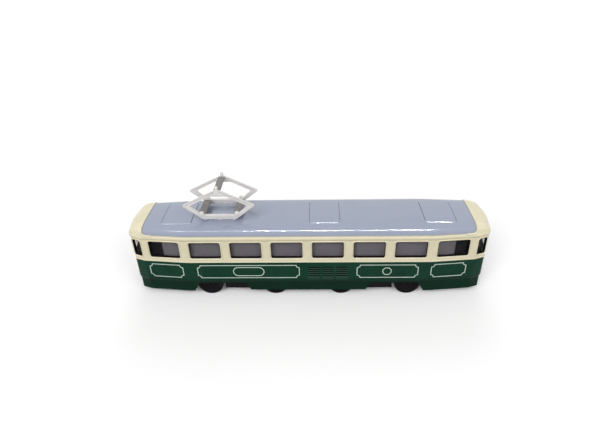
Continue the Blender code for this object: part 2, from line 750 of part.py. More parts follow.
def make_wheelsets():
    """Steel axles, each with a wheel pressed on at both ends; an empty marks each axis."""
    height = WHEEL_DIAMETER / 2
    half_axle = wheel_face_y() - WHEEL_WIDTH + AXLE_INSERTION
    radius = AXLE_DIAMETER / 2
    axle_profile = ((0, -half_axle), (radius, -half_axle), (radius, half_axle), (0, half_axle))
    for number, x in enumerate(axle_stations(), start=1):
        axis = bpy.data.objects.new(f"axis_{number}", None)
        bpy.context.scene.collection.objects.link(axis)
        axis.location = (x, 0, height)
        axle = add_object(f"axle_{number}", turned(axle_profile, SMALL_SIDES), "steel")
        axle.parent = axis
        smooth_round(axle)
        for side_name, sign in (("right", -1), ("left", 1)):
            name = f"wheel_{number}_{side_name}"
            wheel = add_object(name, turned(wheel_profile(), WHEEL_SIDES), "black_plastic")
            wheel.parent = axis
            wheel.location = (0, sign * wheel_face_y(), 0)
            wheel.rotation_euler = (0, 0, 0 if sign < 0 else pi)
            smooth_round(wheel)


# ============================== chassis ==============================

CHASSIS_INSET = SKIRT_INSET + SKIRT_WALL + FIT_GAP
CHASSIS_ROOT_Z = FLOOR_Z + FLOOR_THICKNESS / 2  # inside the plate, where what stands on it starts


def rail_face_y():
    """Outer face of the rails, just inside the wheels."""
    return wheel_face_y() - WHEEL_WIDTH - RUNNING_GAP


def axle_rails():
    end = outer_axle() + WELL_LENGTH / 2
    outer = rail_face_y()
    return boxes("guide_rails", [
        ((-end, side * outer, CHASSIS_ROOT_Z), (end, side * (outer - RAIL_WIDTH), RAIL_TOP_Z))
        for side in (-1, 1)
    ])


def side_plates():
    """Plates that fill the skirt openings on the inner side of the outer wheels."""
    near = outer_axle() - OPENING_BEFORE_AXLE - SIDE_PLATE_OVERLAP
    far = outer_axle() - WELL_LENGTH / 2
    outer = BODY_WIDTH / 2 - CHASSIS_INSET
    inner = outer - SIDE_PLATE_THICKNESS
    top = FLOOR_Z + SIDE_PLATE_HEIGHT
    return boxes("guide_side_plates", [
        ((x_sign * near, y_sign * inner, CHASSIS_ROOT_Z), (x_sign * far, y_sign * outer, top))
        for x_sign, y_sign in QUADRANTS
    ])


def wheel_wells():
    half = WELL_LENGTH / 2
    return boxes("cut_wheel_wells", [
        (
            (x - half, side * rail_face_y(), FLOOR_Z - OVERCUT),
            (x + half, side * BODY_WIDTH / 2, RAIL_TOP_Z + OVERCUT),
        )
        for x in axle_stations() for side in (-1, 1)
    ])


def liner_posts():
    """Posts midway between the axles that hold up the saloon liner."""
    maker = bmesh.new()
    top = LINER_FLOOR_Z - FIT_GAP
    stations = axle_stations()
    for before, after in zip(stations, stations[1:]):
        post = circle_outline(POST_DIAMETER / 2, ((before + after) / 2, 0.0))
        copy_into(maker, prism(post, along_z, CHASSIS_ROOT_Z, top))
    return add_object("guide_liner_posts", maker)


def axle_bores():
    maker = bmesh.new()
    radius = AXLE_DIAMETER / 2 + FIT_GAP
    reach = rail_face_y() + OVERCUT
    for x in axle_stations():
        bore = circle_outline(radius, (x, WHEEL_DIAMETER / 2))
        copy_into(maker, prism(bore, along_y, -reach, reach))
    return add_object("cut_axle_bores", maker)


def screw_recesses():
    maker = bmesh.new()
    place = BODY_LENGTH / 2 - SCREW_END_DISTANCE
    for x in (-place, place):
        recess = circle_outline(SCREW_RECESS_DIAMETER / 2, (x, 0.0))
        copy_into(maker, prism(recess, along_z, FLOOR_Z - OVERCUT, FLOOR_Z + SCREW_RECESS_DEPTH))
    return add_object("cut_screw_recesses", maker)


def make_chassis():
    """Black base: a plate with wheel wells, two rails bored for the axles, plates that
    fill the skirt openings beside the wheels, and posts under the saloon liner."""
    plate = solid_stack(((CHASSIS_INSET, FLOOR_Z), (CHASSIS_INSET, FLOOR_Z + FLOOR_THICKNESS)))
    chassis = add_object("chassis", plate, "black_plastic")
    boolean(chassis, axle_rails(), "UNION")
    boolean(chassis, liner_posts(), "UNION")
    boolean(chassis, wheel_wells(), "DIFFERENCE")
    boolean(chassis, side_plates(), "UNION")
    boolean(chassis, axle_bores(), "DIFFERENCE")
    boolean(chassis, screw_recesses(), "DIFFERENCE")
    smooth_round(chassis)


# ============================== pantograph ==============================

def roof_height(y):
    """Top of the grey panel at a distance y from the centre line, on the straight stretch."""
    come_in = 1 - abs(y) / (BODY_WIDTH / 2 - ROOF_EDGE_INSET)
    for (low_rise, low_side, _), (high_rise, high_side, _) in zip(ROOF_CURVE, ROOF_CURVE[1:]):
        if come_in <= high_side:
            part = (come_in - low_side) / (high_side - low_side)
            rise = low_rise + (high_rise - low_rise) * part
            return EAVES_Z - ROOF_DROP + (CROWN_Z - EAVES_Z) * rise
    return CROWN_Z - ROOF_DROP


def panto_x():
    return PANTO_END_DISTANCE - BODY_LENGTH / 2


def panto_base_z():
    """Bottom edge of the base bars, above the feet that stand on the roof."""
    inner_face = (PANTO_FRAME_SPACING - PANTO_FRAME_THICKNESS) / 2
    return roof_height(inner_face) + FIT_GAP + PANTO_FOOT


def panto_outer_corners():
    """Half of a frame's outer edge, from its base to the nub on its apex: u, v, radius."""
    nub = PANTO_NUB_WIDTH / 2
    slope = (PANTO_APEX_RISE - PANTO_ELBOW_RISE) / PANTO_ELBOW_HALF
    return [
        (PANTO_BASE_HALF, 0.0, 0.6 * MM),
        (PANTO_ELBOW_HALF, PANTO_ELBOW_RISE, 0.5 * MM),
        (nub, PANTO_APEX_RISE - nub * slope, 0.4 * MM),
        (nub, PANTO_NUB_RISE, 0.5 * MM),
    ]


def panto_inner_corners():
    """Half of a frame's opening, flat below the gusset at its top: u, v, radius."""
    return [
        (PANTO_INNER_BASE_HALF, PANTO_BASE_HEIGHT, 0.6 * MM),
        (PANTO_INNER_ELBOW_HALF, PANTO_INNER_ELBOW_RISE, 0.8 * MM),
        (PANTO_GUSSET_HALF, PANTO_GUSSET_RISE, 1.5 * MM),
    ]


def panto_prism(outline, near_y, far_y):
    """Extrudes an outline drawn about the pantograph's middle and its base bars' bottom edge."""
    base_z = panto_base_z()
    placed = [(panto_x() + u, base_z + v) for u, v in outline]
    return prism(placed, along_y, *sorted((near_y, far_y)))


def panto_frame(name, side):
    """Diamond frame: outer outline with its nub, less the inner opening, with feet and
    bosses; side is -1 or 1, the sign of its y."""
    inner_y = side * (PANTO_FRAME_SPACING - PANTO_FRAME_THICKNESS) / 2
    outer_y = side * (PANTO_FRAME_SPACING + PANTO_FRAME_THICKNESS) / 2
    step, overcut = side * FACE_STEP, side * OVERCUT
    outline = rounded_loop(mirrored(panto_outer_corners()))
    frame = add_object(name, panto_prism(outline, inner_y, outer_y), "silver_plastic")
    outline = rounded_loop(mirrored(panto_inner_corners()))
    opening = add_object(f"cut_{name}", panto_prism(outline, inner_y - overcut, outer_y + overcut))
    feet, bosses = bmesh.new(), bmesh.new()
    for x in (-PANTO_FOOT_SPACING, 0.0, PANTO_FOOT_SPACING):
        half = PANTO_FOOT_WIDTH / 2
        outline = rectangle((x - half, -PANTO_FOOT), (x + half, PANTO_BASE_HEIGHT / 2))
        copy_into(feet, panto_prism(outline, inner_y + step, outer_y - step))
    for x in (-PANTO_BOSS_HALF, PANTO_BOSS_HALF):
        outline = circle_outline(PANTO_BOSS_DIAMETER / 2, (x, PANTO_BOSS_RISE))
        proud = outer_y + side * PANTO_BOSS_PROUD
        copy_into(bosses, panto_prism(outline, inner_y + step, proud))
    boolean(frame, opening, "DIFFERENCE")
    boolean(frame, add_object(f"guide_{name}_feet", feet), "UNION")
    boolean(frame, add_object(f"guide_{name}_bosses", bosses), "UNION")
    smooth_round(frame)


def panto_strap(name, x, width, top, thickness):
    """Flat strap between the two frames, at x from the pantograph's middle."""
    reach = (PANTO_FRAME_SPACING - PANTO_FRAME_THICKNESS) / 2 - FIT_GAP
    outline = rectangle((x - width / 2, top - thickness), (x + width / 2, top))
    add_object(name, panto_prism(outline, -reach, reach), "strap_grey")


def make_pantograph():
    """Two diamond frames, the contact bar over their tops and two straps at their base."""
    panto_frame("pantograph_right_frame", -1)
    panto_frame("pantograph_left_frame", 1)
    bar_top = PANTO_APEX_RISE - CONTACT_BAR_DROP
    panto_strap("pantograph_contact_bar", 0.0, CONTACT_BAR_WIDTH, bar_top, CONTACT_BAR_THICKNESS)
    strap_top = PANTO_BASE_HEIGHT + BASE_STRAP_RAISE
    for end_name, x in (("rear", -PANTO_BOSS_HALF), ("front", PANTO_BOSS_HALF)):
        name = f"pantograph_base_strap_{end_name}"
        panto_strap(name, x, BASE_STRAP_WIDTH, strap_top, BASE_STRAP_THICKNESS)


def main():
    clear_scene()
    make_lower_body()
    make_upper_body()
    make_roof_panel()
    make_glazing()
    make_saloon_liner()
    make_headlamps()
    make_chassis()
    make_wheelsets()
    make_pantograph()


main()
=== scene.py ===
"""Looks of the toy metro railcar: its painted shell, windows, roof, running gear and
pantograph, built in metres in the CAD model's own frame. MM turns millimetres into metres.
"""

from math import atan2, cos, hypot, pi, radians, sin, tan

import bmesh
import bpy
import numpy as np
from mathutils import Matrix, Vector
from mathutils.bvhtree import BVHTree


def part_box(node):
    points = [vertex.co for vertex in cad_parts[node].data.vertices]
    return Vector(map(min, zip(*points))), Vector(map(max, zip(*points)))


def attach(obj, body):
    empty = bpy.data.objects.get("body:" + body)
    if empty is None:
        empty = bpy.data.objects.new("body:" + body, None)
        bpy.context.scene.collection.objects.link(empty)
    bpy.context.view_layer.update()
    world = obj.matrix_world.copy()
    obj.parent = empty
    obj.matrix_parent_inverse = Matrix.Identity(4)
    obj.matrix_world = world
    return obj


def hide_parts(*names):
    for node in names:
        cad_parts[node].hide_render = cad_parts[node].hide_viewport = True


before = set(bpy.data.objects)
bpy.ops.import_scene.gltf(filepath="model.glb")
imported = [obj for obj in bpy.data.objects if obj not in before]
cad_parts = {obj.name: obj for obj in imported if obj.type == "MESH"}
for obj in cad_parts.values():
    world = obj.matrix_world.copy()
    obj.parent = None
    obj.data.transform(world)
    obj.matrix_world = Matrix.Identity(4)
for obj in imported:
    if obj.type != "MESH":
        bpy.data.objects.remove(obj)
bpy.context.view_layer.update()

MM = 0.001

# ---- the car, read from the frame ----
UPPER_LOW, UPPER_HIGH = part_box("upper_body")
LOWER_LOW, LOWER_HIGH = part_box("lower_body")
ROOF_LOW, ROOF_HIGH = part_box("roof_panel")
HALF_LENGTH = UPPER_HIGH.x
HALF_WIDTH = UPPER_HIGH.y
BELT_Z = UPPER_LOW.z
CROWN_Z = UPPER_HIGH.z
FIT_GAP = 0.3 * MM
EAVES_Z = ROOF_LOW.z - FIT_GAP
ROOF_HALF_LENGTH = ROOF_HIGH.x
END_SKIRT_Z = LOWER_LOW.z

# ---- plan of the walls ----
TAPER_LENGTH = 23.0 * MM
TAPER_NARROWING = 2.3 * MM
CORNER_LENGTH = 6.0 * MM
CORNER_NARROWING = 2.3 * MM
NOSE_BOW = 1.5 * MM
NOSE_FLAT_WIDTH = 6.4 * MM
NOSE_BEND_RADIUS = 12.0 * MM
NOSE_CORNER_RADIUS = 3.0 * MM
CORNER_POST_RADIUS = 1.6 * MM
TAPER_BEND_RADIUS = 60.0 * MM
STRAIGHT_HALF = HALF_LENGTH - NOSE_BOW - CORNER_LENGTH - TAPER_LENGTH
SHELL_WALL = 1.2 * MM
BAND_OUT = -0.3 * MM  # face of the cream band, in from the gutter
GREEN_INSET = 0.3 * MM
SKIRT_INSET = 0.8 * MM
SKIRT_WALL = 1.0 * MM
STEP_Z = 10.4 * MM
MIDDLE_SKIRT_Z = 3.8 * MM

# ---- windows ----
SIDE_WINDOWS = 6
WINDOW_WIDTH = 16.2 * MM
WINDOW_HEIGHT = 9.65 * MM
WINDOW_SILL_Z = 25.05 * MM
WINDOW_TOP_Z = WINDOW_SILL_Z + WINDOW_HEIGHT
WINDOW_RADIUS = 1.0 * MM
TAPER_WINDOW_SHIFT = 0.4 * MM
CORNER_WINDOW_WIDTH = 5.2 * MM
WINDSCREEN_WIDTH = 9.4 * MM
WINDSCREEN_POST = 2.0 * MM
GLASS_THICKNESS = 0.8 * MM
GLASS_MARGIN = 1.9 * MM

OVERCUT = 3.0 * MM


# ==== materials ====

def srgb(red, green, blue):
    """A colour given as 0 to 255 display values, as linear light."""
    def linear(value):
        share = value / 255
        return share / 12.92 if share <= 0.04045 else ((share + 0.055) / 1.055) ** 2.4
    return (linear(red), linear(green), linear(blue), 1.0)


def set_inputs(target, values):
    """Sets a node's own sockets by name, with _ for a space."""
    for name, value in values.items():
        target.inputs[name.replace("_", " ")].default_value = value
    return target


def node(tree, kind, **values):
    return set_inputs(tree.nodes.new("ShaderNode" + kind), values)


def join(source, output, target, name):
    source.id_data.links.new(source.outputs[output], target.inputs[name])


def new_material(name, **shader_values):
    """A new material with its node tree and its shader."""
    made = bpy.data.materials.new(name)
    made.use_nodes = True
    tree = made.node_tree
    return made, tree, set_inputs(tree.nodes["Principled BSDF"], shader_values)


DRIFT_SPAN = 0.3, 0.7  # part of the noise over which colour and roughness drift


def finish_material(name, low, high, patch, rough, grain, bump, specular=0.5, **shader_values):
    """Procedural finish. The colour drifts between low and high, given as 0 to 255, and the
    roughness between the two of rough, over patches of the given size. A grain of the given
    size raises the surface by bump. These three sizes are in millimetres."""
    made, tree, shader = new_material(name, Specular_IOR_Level=specular, **shader_values)
    place = node(tree, "TexCoord")

    def drive(target, name, scale, detail, roughness):
        """Drives a node's socket by a noise."""
        noise = node(tree, "TexNoise", Scale=scale, Detail=detail, Roughness=roughness)
        join(place, "Object", noise, "Vector")
        join(noise, "Fac", target, name)

    ramp = node(tree, "ValToRGB")
    for element, position, colour in zip(ramp.color_ramp.elements, DRIFT_SPAN, (low, high)):
        element.position = position
        element.color = srgb(*colour)
    drive(ramp, "Fac", 1 / (patch * MM), 4.0, 0.55)
    join(ramp, "Color", shader, "Base Color")
    spread = node(
        tree, "MapRange", From_Min=DRIFT_SPAN[0], From_Max=DRIFT_SPAN[1],
        To_Min=rough[0], To_Max=rough[1],
    )
    drive(spread, "Value", 2.3 / (patch * MM), 6.0, 0.65)
    join(spread, "Result", shader, "Roughness")
    raised = node(tree, "Bump", Strength=1.0, Distance=bump * MM)
    drive(raised, "Height", 1 / (grain * MM), 3.0, 0.5)
    join(raised, "Normal", shader, "Normal")
    return made


def tone_down(material, low_z, high_z, share):
    """Deepens a material's colour to a share of itself from high_z down to low_z."""
    tree = material.node_tree
    shader = tree.nodes["Principled BSDF"]
    colour = shader.inputs["Base Color"].links[0].from_node
    parts = node(tree, "SeparateXYZ")
    join(node(tree, "TexCoord"), "Object", parts, 0)
    fade = node(tree, "MapRange", From_Min=low_z, From_Max=high_z, To_Min=share, To_Max=1.0)
    join(parts, "Z", fade, "Value")
    scale = node(tree, "VectorMath")
    scale.operation = "SCALE"
    join(colour, "Color", scale, 0)
    join(fade, "Result", scale, "Scale")
    join(scale, 0, shader, "Base Color")


FINISHES = {  # name, both ends of the colour, patch, roughness, grain, bump, specular level
    "cream": ("cream_paint", (219, 211, 181), (226, 218, 188), 6, (0.19, 0.24), 0.5, 0.0006),
    "green": ("green_paint", (23, 58, 45), (28, 65, 51), 9, (0.14, 0.22), 0.45, 0.001, 0.04),
    "louvre_green": (
        "green_paint_gloss", (21, 56, 43), (26, 63, 49), 9, (0.14, 0.22), 0.45, 0.001, 0.22,
    ),
    "roof": ("roof_grey", (144, 152, 171), (148, 156, 175), 18, (0.083, 0.087), 0.5, 0.0001, 0.8),
    "lining": ("lining_paint", (190, 207, 193), (204, 217, 204), 2, (0.35, 0.5), 0.3, 0.004),
    "glass": ("smoked_glass", (38, 34, 40), (44, 40, 46), 8, (0.05, 0.14), 1.2, 0.003, 0.25),
    # black for the dark window edges, and for the painted shade in the louvre slots and at the
    # window sills
    "gasket": ("dark_edge_and_shade_black", (10, 6, 8), (16, 10, 13), 2, (0.5, 0.7), 0.3, 0.004, 0.08),
    "liner": ("liner_grey", (158, 153, 160), (165, 160, 167), 10, (0.5, 0.7), 0.3, 0.004, 0.3),
    "black": ("black_plastic", (14, 12, 15), (24, 21, 25), 4, (0.32, 0.5), 0.35, 0.006, 0.08),
    "steel": ("steel", (170, 170, 172), (196, 196, 198), 3, (0.2, 0.4), 0.15, 0.002),
    "silver": ("silver_plastic", (214, 211, 209), (226, 223, 220), 3, (0.28, 0.38), 0.15, 0.002),
    "strap": ("strap_grey", (112, 110, 108), (126, 123, 120), 2.5, (0.35, 0.5), 0.12, 0.005),
    "lamp": ("lamp_clear", (222, 222, 216), (236, 236, 232), 2, (0.06, 0.14), 0.8, 0.004),
}
SHADER_VALUES = {
    "glass": {"Alpha": 0.22},
    "steel": {"Metallic": 1.0},
    "silver": {"Metallic": 0.15},
    "strap": {"Metallic": 0.2},
}
MATERIALS = {
    key: finish_material(*finish, **SHADER_VALUES.get(key, {})) for key, finish in FINISHES.items()
}

# The carton's shade on the skirt is painted in: the green is this share of its colour at the
# low height and below, and whole from the high one up.
SHADE_SHARE = 0.55
SHADE_LOW_Z, SHADE_HIGH_Z = 9.2 * MM, 12.6 * MM
tone_down(MATERIALS["green"], SHADE_LOW_Z, SHADE_HIGH_Z, SHADE_SHARE)


# ==== mesh helpers ====

def new_object(name, maker):
    """Turns a bmesh into an object, with its normals out."""
    bmesh.ops.recalc_face_normals(maker, faces=maker.faces)
    mesh = bpy.data.meshes.new(name)
    maker.to_mesh(mesh)
    maker.free()
    made = bpy.data.objects.new(name, mesh)
    bpy.context.scene.collection.objects.link(made)
    return made


def add_piece(name, maker, material, replaces=(), body="root"):
    """Turns a bmesh into a shown piece that rides on a CAD body."""
    piece = new_object(name, maker)
    piece.data.materials.append(MATERIALS[material])
    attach(piece, body)
    if replaces:
        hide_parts(*replaces)
    return piece


def booleans(piece, *steps):
    """Applies (operation, tool bmesh) steps to a piece and removes the tools."""
    tools = []
    for operation, maker in steps:
        tools.append(new_object("tool", maker))
        modifier = piece.modifiers.new("step", "BOOLEAN")
        modifier.operation = operation
        modifier.object = tools[-1]
        modifier.solver = "EXACT"
    apply_modifiers(piece)
    for tool in tools:
        bpy.data.objects.remove(tool, do_unlink=True)


def cut(piece, *makers):
    """Takes tool bmeshes away from a piece."""
    booleans(piece, *[("DIFFERENCE", maker) for maker in makers])


def apply_modifiers(piece):
    bpy.context.view_layer.update()
    evaluated = piece.evaluated_get(bpy.context.evaluated_depsgraph_get())
    mesh = bpy.data.meshes.new_from_object(evaluated)
    piece.modifiers.clear()
    old = piece.data
    piece.data = mesh
    mesh.name = piece.name
    bpy.data.meshes.remove(old)


def bevel_edges(piece, width):
    modifier = piece.modifiers.new("soft_edges", "BEVEL")
    modifier.width = width
    modifier.segments = 3
    modifier.limit_method = "ANGLE"
    modifier.angle_limit = radians(40)
    modifier.use_clamp_overlap = True
    apply_modifiers(piece)


def shade(piece, sharp_from=32):
    """Shades a piece smooth, apart from edges sharper than an angle in degrees."""
    piece.data.shade_smooth()
    piece.data.set_sharp_from_angle(angle=radians(sharp_from))


def loft_into(maker, loops, closed=False):
    """Adds 3-D loops of equal length joined by quads; open stacks get a cap at each end."""
    rows = [[maker.verts.new(point) for point in loop] for loop in loops]
    pairs = list(zip(rows, rows[1:])) + ([(rows[-1], rows[0])] if closed else [])
    for lower, upper in pairs:
        for index in range(len(lower)):
            following = (index + 1) % len(lower)
            maker.faces.new((lower[index], lower[following], upper[following], upper[index]))
    if not closed:
        maker.faces.new(rows[0])
        maker.faces.new(rows[-1])


def loft(loops, closed=False):
    maker = bmesh.new()
    loft_into(maker, loops, closed)
    return maker


def across_car(outline):
    """Prism of an (x, z) outline, right across the car."""
    return loft([[(x, y, z) for x, z in outline] for y in (-2 * HALF_WIDTH, 2 * HALF_WIDTH)])


def box_between(low, high):
    """A box from its low corner to its high one."""
    maker = bmesh.new()
    verts = [
        maker.verts.new((x, y, z))
        for x in (low.x, high.x) for y in (low.y, high.y) for z in (low.z, high.z)
    ]
    for face in (
        (0, 1, 3, 2), (4, 6, 7, 5), (0, 4, 5, 1), (2, 3, 7, 6), (0, 2, 6, 4), (1, 5, 7, 3),
    ):
        maker.faces.new([verts[index] for index in face])
    return maker


def box_of(name):
    """Low corner, high corner and middle of a CAD node."""
    low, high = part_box(name)
    return low, high, (low + high) / 2


def unit_circle(sides):
    return [(cos(2 * pi * k / sides), sin(2 * pi * k / sides)) for k in range(sides)]


def rectangle(low_u, low_v, high_u, high_v, radius):
    """Corners of a rectangle, each with the radius that rounds it."""
    places = (low_u, low_v), (high_u, low_v), (high_u, high_v), (low_u, high_v)
    return [(u, v, radius) for u, v in places]


NO_LENGTH = 1e-7  # a reach below this leaves a corner sharp


def rounded_path(corners, steps, closed=True):
    """Outline through (u, v, radius) corners, each rounded by an arc of that radius."""
    points = []
    count = len(corners)
    for index, (u, v, radius) in enumerate(corners):
        if not closed and index in (0, count - 1):
            points.append((u, v))
            continue
        here = Vector((u, v))
        before = Vector(corners[index - 1][:2]) - here
        after = Vector(corners[(index + 1) % count][:2]) - here
        turn = pi - before.angle(after)
        reach = min(radius * tan(turn / 2), 0.49 * before.length, 0.49 * after.length)
        if reach < NO_LENGTH:
            points.append((u, v))
            continue
        arc_radius = reach / tan(turn / 2)
        before.normalize()
        after.normalize()
        centre = here + (before + after).normalized() * hypot(reach, arc_radius)
        start = here + before * reach - centre
        end = here + after * reach - centre
        start_angle = atan2(start.y, start.x)
        sweep = (atan2(end.y, end.x) - start_angle + pi) % (2 * pi) - pi
        for step in range(steps + 1):
            angle = start_angle + sweep * step / steps
            points.append(
                (centre.x + arc_radius * cos(angle), centre.y + arc_radius * sin(angle))
            )
    return points


def edges_of(outline):
    return zip(outline, outline[1:] + outline[:1])


def split_edges(outline, pieces_of):
    """A closed outline with its edges split; pieces_of takes an edge's run in u and in v."""
    points = []
    for (u1, v1), (u2, v2) in edges_of(outline):
        count = pieces_of(u2 - u1, v2 - v1)
        points += [
            (u1 + (u2 - u1) * k / count, v1 + (v2 - v1) * k / count) for k in range(count)
        ]
    return points


def split_long(outline, longest):
    """A closed outline with no edge longer than that."""
    return split_edges(outline, lambda u, v: max(1, int(np.ceil(hypot(u, v) / longest))))


def turned(profile, sides, place):
    """Solid of revolution about Y through (radius, y) points, from axis to axis."""
    maker = bmesh.new()
    rows = []
    for radius, y in profile:
        circle = unit_circle(sides) if radius else [(0, 0)]
        rows.append([
            maker.verts.new(place @ Vector((radius * u, y, radius * v))) for u, v in circle
        ])
    for lower, upper in zip(rows, rows[1:]):
        for index in range(sides):
            following = (index + 1) % sides
            if len(lower) == 1:
                face = lower[0], upper[index], upper[following]
            elif len(upper) == 1:
                face = lower[index], lower[following], upper[0]
            else:
                face = lower[index], lower[following], upper[following], upper[index]
            maker.faces.new(face)
    return maker


# ==== the wall, unrolled ====
# A place on the wall is (s, z): s runs along the outline from the middle of the right side
# towards the front, round the nose, along the left side and round the rear.

def plan_corners():
    """Corners of the car's plan and the radius that rounds each, from the right side."""
    post = HALF_LENGTH - NOSE_BOW - CORNER_LENGTH, HALF_WIDTH - TAPER_NARROWING
    nose = HALF_LENGTH - NOSE_BOW, HALF_WIDTH - TAPER_NARROWING - CORNER_NARROWING
    quarter = [
        (STRAIGHT_HALF, -HALF_WIDTH, TAPER_BEND_RADIUS),
        (post[0], -post[1], CORNER_POST_RADIUS),
        (nose[0], -nose[1], NOSE_CORNER_RADIUS),
        (HALF_LENGTH, -NOSE_FLAT_WIDTH / 2, NOSE_BEND_RADIUS),
    ]
    front = quarter + [(x, -y, radius) for x, y, radius in reversed(quarter)]
    return front + [(-x, -y, radius) for x, y, radius in front]


LEAST_RADIUS = 0.2 * MM
PLAN_ARC_STEPS = 12
WALL_PIECE = 8 * MM  # longest straight piece of the wall's own outline
LEVEL_PIECE = 6 * MM  # about as long are the pieces of a level


def moved_out(corners, out):
    """Anticlockwise (u, v, radius) corners with every edge moved out by a distance."""
    places = [Vector(corner[:2]) for corner in corners]
    moved = []
    for index, here in enumerate(places):
        before = (here - places[index - 1]).normalized()
        after = (places[(index + 1) % len(places)] - here).normalized()
        mean = Vector((before.y + after.y, -before.x - after.x)).normalized()
        shift = here + mean * (out / mean.dot(Vector((after.y, -after.x))))
        moved.append((shift.x, shift.y, max(corners[index][2] + out, LEAST_RADIUS)))
    return moved


def plan(out):
    """The car's outline moved out from its walls, with sharper corners where it moves in."""
    return rounded_path(moved_out(plan_corners(), out), PLAN_ARC_STEPS)


def wall_outline():
    """The wall's outline as one closed path from the middle of the right side."""
    points = split_long(plan(0.0), WALL_PIECE)
    while not (points[-1][0] < 0 <= points[0][0] and points[0][1] < 0):
        points = points[1:] + points[:1]
    x, y = points[0]
    return [(0.0, y)] + points if x > 1e-9 else points


WALL_XY = np.array(wall_outline())
WALL_STEP = np.roll(WALL_XY, -1, axis=0) - WALL_XY
WALL_S = np.concatenate(([0.0], np.cumsum(np.hypot(*WALL_STEP.T))))
WALL_LENGTH = WALL_S[-1]


def wall_normals():
    edge = WALL_STEP / np.hypot(*WALL_STEP.T)[:, None]
    outward = np.stack((edge[:, 1], -edge[:, 0]), axis=1)
    mean = outward + np.roll(outward, 1, axis=0)
    return mean / np.hypot(*mean.T)[:, None]


WALL_TABLE = np.hstack((WALL_XY, wall_normals()))
WALL_TABLE = np.vstack((WALL_TABLE, WALL_TABLE[:1]))


def wall_frame(s):
    """Point and outward normal of the wall at s: x, y, nx, ny."""
    return [float(np.interp(s % WALL_LENGTH, WALL_S, column)) for column in WALL_TABLE.T]


def on_wall(s, z, out=0.0):
    x, y, nx, ny = wall_frame(s)
    return (x + nx * out, y + ny * out, z)


def s_of_x(x):
    """Place along the right side of a station x, on either half of the car."""
    stations = [s for s in WALL_S if s < WALL_LENGTH / 4]
    found = float(np.interp(abs(x), [wall_frame(s)[0] for s in stations], stations))
    return found if x >= 0 else -found


def s_of_nose(y):
    """Place on the front wall at a distance y from the centre line, y below zero."""
    stations = [s for s in WALL_S if WALL_LENGTH / 8 < s <= WALL_LENGTH / 4 + 1e-9]
    return float(np.interp(y, [wall_frame(s)[1] for s in stations], stations))


LEVEL_PIECES = [
    max(1, round(hypot(x2 - x1, y2 - y1) / LEVEL_PIECE))
    for (x1, y1), (x2, y2) in edges_of(plan(0.0))
]


def level(out, z, along=1.0, across=1.0):
    """The plan at a height, moved out from the walls and scaled along and across."""
    points = []
    for ((x1, y1), (x2, y2)), pieces in zip(edges_of(plan(out)), LEVEL_PIECES):
        for share in (k / pieces for k in range(pieces)):
            x, y = x1 + (x2 - x1) * share, y1 + (y2 - y1) * share
            points.append((x * along, y * across, z))
    return points


# ==== the dome ====

ROOF_CURVE = (  # share of the rise, share of the half width come in, ends come in
    (0.00, 0.000, 0.0 * MM),
    (0.36, 0.023, 0.6 * MM),
    (0.58, 0.063, 1.6 * MM),
    (0.73, 0.126, 3.0 * MM),
    (0.83, 0.223, 5.4 * MM),
    (0.91, 0.383, 9.6 * MM),
    (0.98, 0.634, 14.5 * MM),
    (1.00, 0.880, 20.0 * MM),
)
ROOF_CURVE_STEPS = 4
ROOF_EDGE_INSET = 0.3 * MM
ROOF_DROP = 0.3 * MM
ROOF_END_RADIUS = 2.0 * MM  # lower corners of the grey panel's ends


def smooth_rows(rows, steps):
    """Rows of a table with more rows put between them on a Catmull-Rom curve."""
    table = np.array(rows)
    ends = np.vstack((2 * table[0] - table[1], table, 2 * table[-1] - table[-2]))
    found = []
    for index in range(1, len(ends) - 2):
        before, here, after, beyond = ends[index - 1:index + 3]
        for step in range(steps):
            t = step / steps
            found.append(0.5 * (
                2 * here + (after - before) * t
                + (2 * before - 5 * here + 4 * after - beyond) * t ** 2
                + (3 * here - before - 3 * after + beyond) * t ** 3
            ))
    return np.vstack((found, table[-1:]))


DOME_ROWS = smooth_rows(ROOF_CURVE, ROOF_CURVE_STEPS)


def dome_loops(out, drop, base_loops):
    """Loops of the dome from the eaves up, over loops already made."""
    half = HALF_LENGTH + out
    loops = list(base_loops)
    for rise, come_in, end_pull in DOME_ROWS:
        z = EAVES_Z - drop + (CROWN_Z - EAVES_Z) * rise
        loops.append(level(out, z, (half - end_pull) / half, 1 - come_in))
    return loops


def dome_block(out, drop, low):
    """Solid below the dome, from a height up."""
    return loft(dome_loops(out, drop, [level(out, low)]))


def dome_tree(out, drop):
    """The dome's surface as a tree that rays are cast on."""
    source = dome_block(out, drop, EAVES_Z - OVERCUT)
    tree = BVHTree.FromBMesh(source)
    source.free()
    return tree


def roof_gate(grow):
    """Prism across the car that takes in the grey roof panel, grown by a clearance."""
    half = ROOF_HALF_LENGTH + grow
    seat, top = ROOF_LOW.z - grow, CROWN_Z + OVERCUT
    radius = ROOF_END_RADIUS + grow
    corners = [(half, seat, radius), (half, top, 0), (-half, top, 0), (-half, seat, radius)]
    return across_car(rounded_path(corners, 10))


# ==== windows ====

def window_places():
    """Middle along the wall and width of every window."""
    pitch = 2 * STRAIGHT_HALF / SIDE_WINDOWS
    middle = (SIDE_WINDOWS - 1) / 2
    places = [((index - middle) * pitch, WINDOW_WIDTH) for index in range(SIDE_WINDOWS)]
    for s, width in (
        (s_of_x((SIDE_WINDOWS + 1) / 2 * pitch + TAPER_WINDOW_SHIFT), WINDOW_WIDTH),
        (s_of_x(HALF_LENGTH - NOSE_BOW - CORNER_LENGTH / 2), CORNER_WINDOW_WIDTH),
        (s_of_nose(-(WINDSCREEN_POST + WINDSCREEN_WIDTH) / 2), WINDSCREEN_WIDTH),
    ):
        places += [(s, width), (-s, width)]
    return places + [(WALL_LENGTH / 2 - s, width) for s, width in places]


WINDOW_ARC_STEPS = 6
SILL_PIECES = 6  # pieces of a sill or header, to follow the bend of the wall


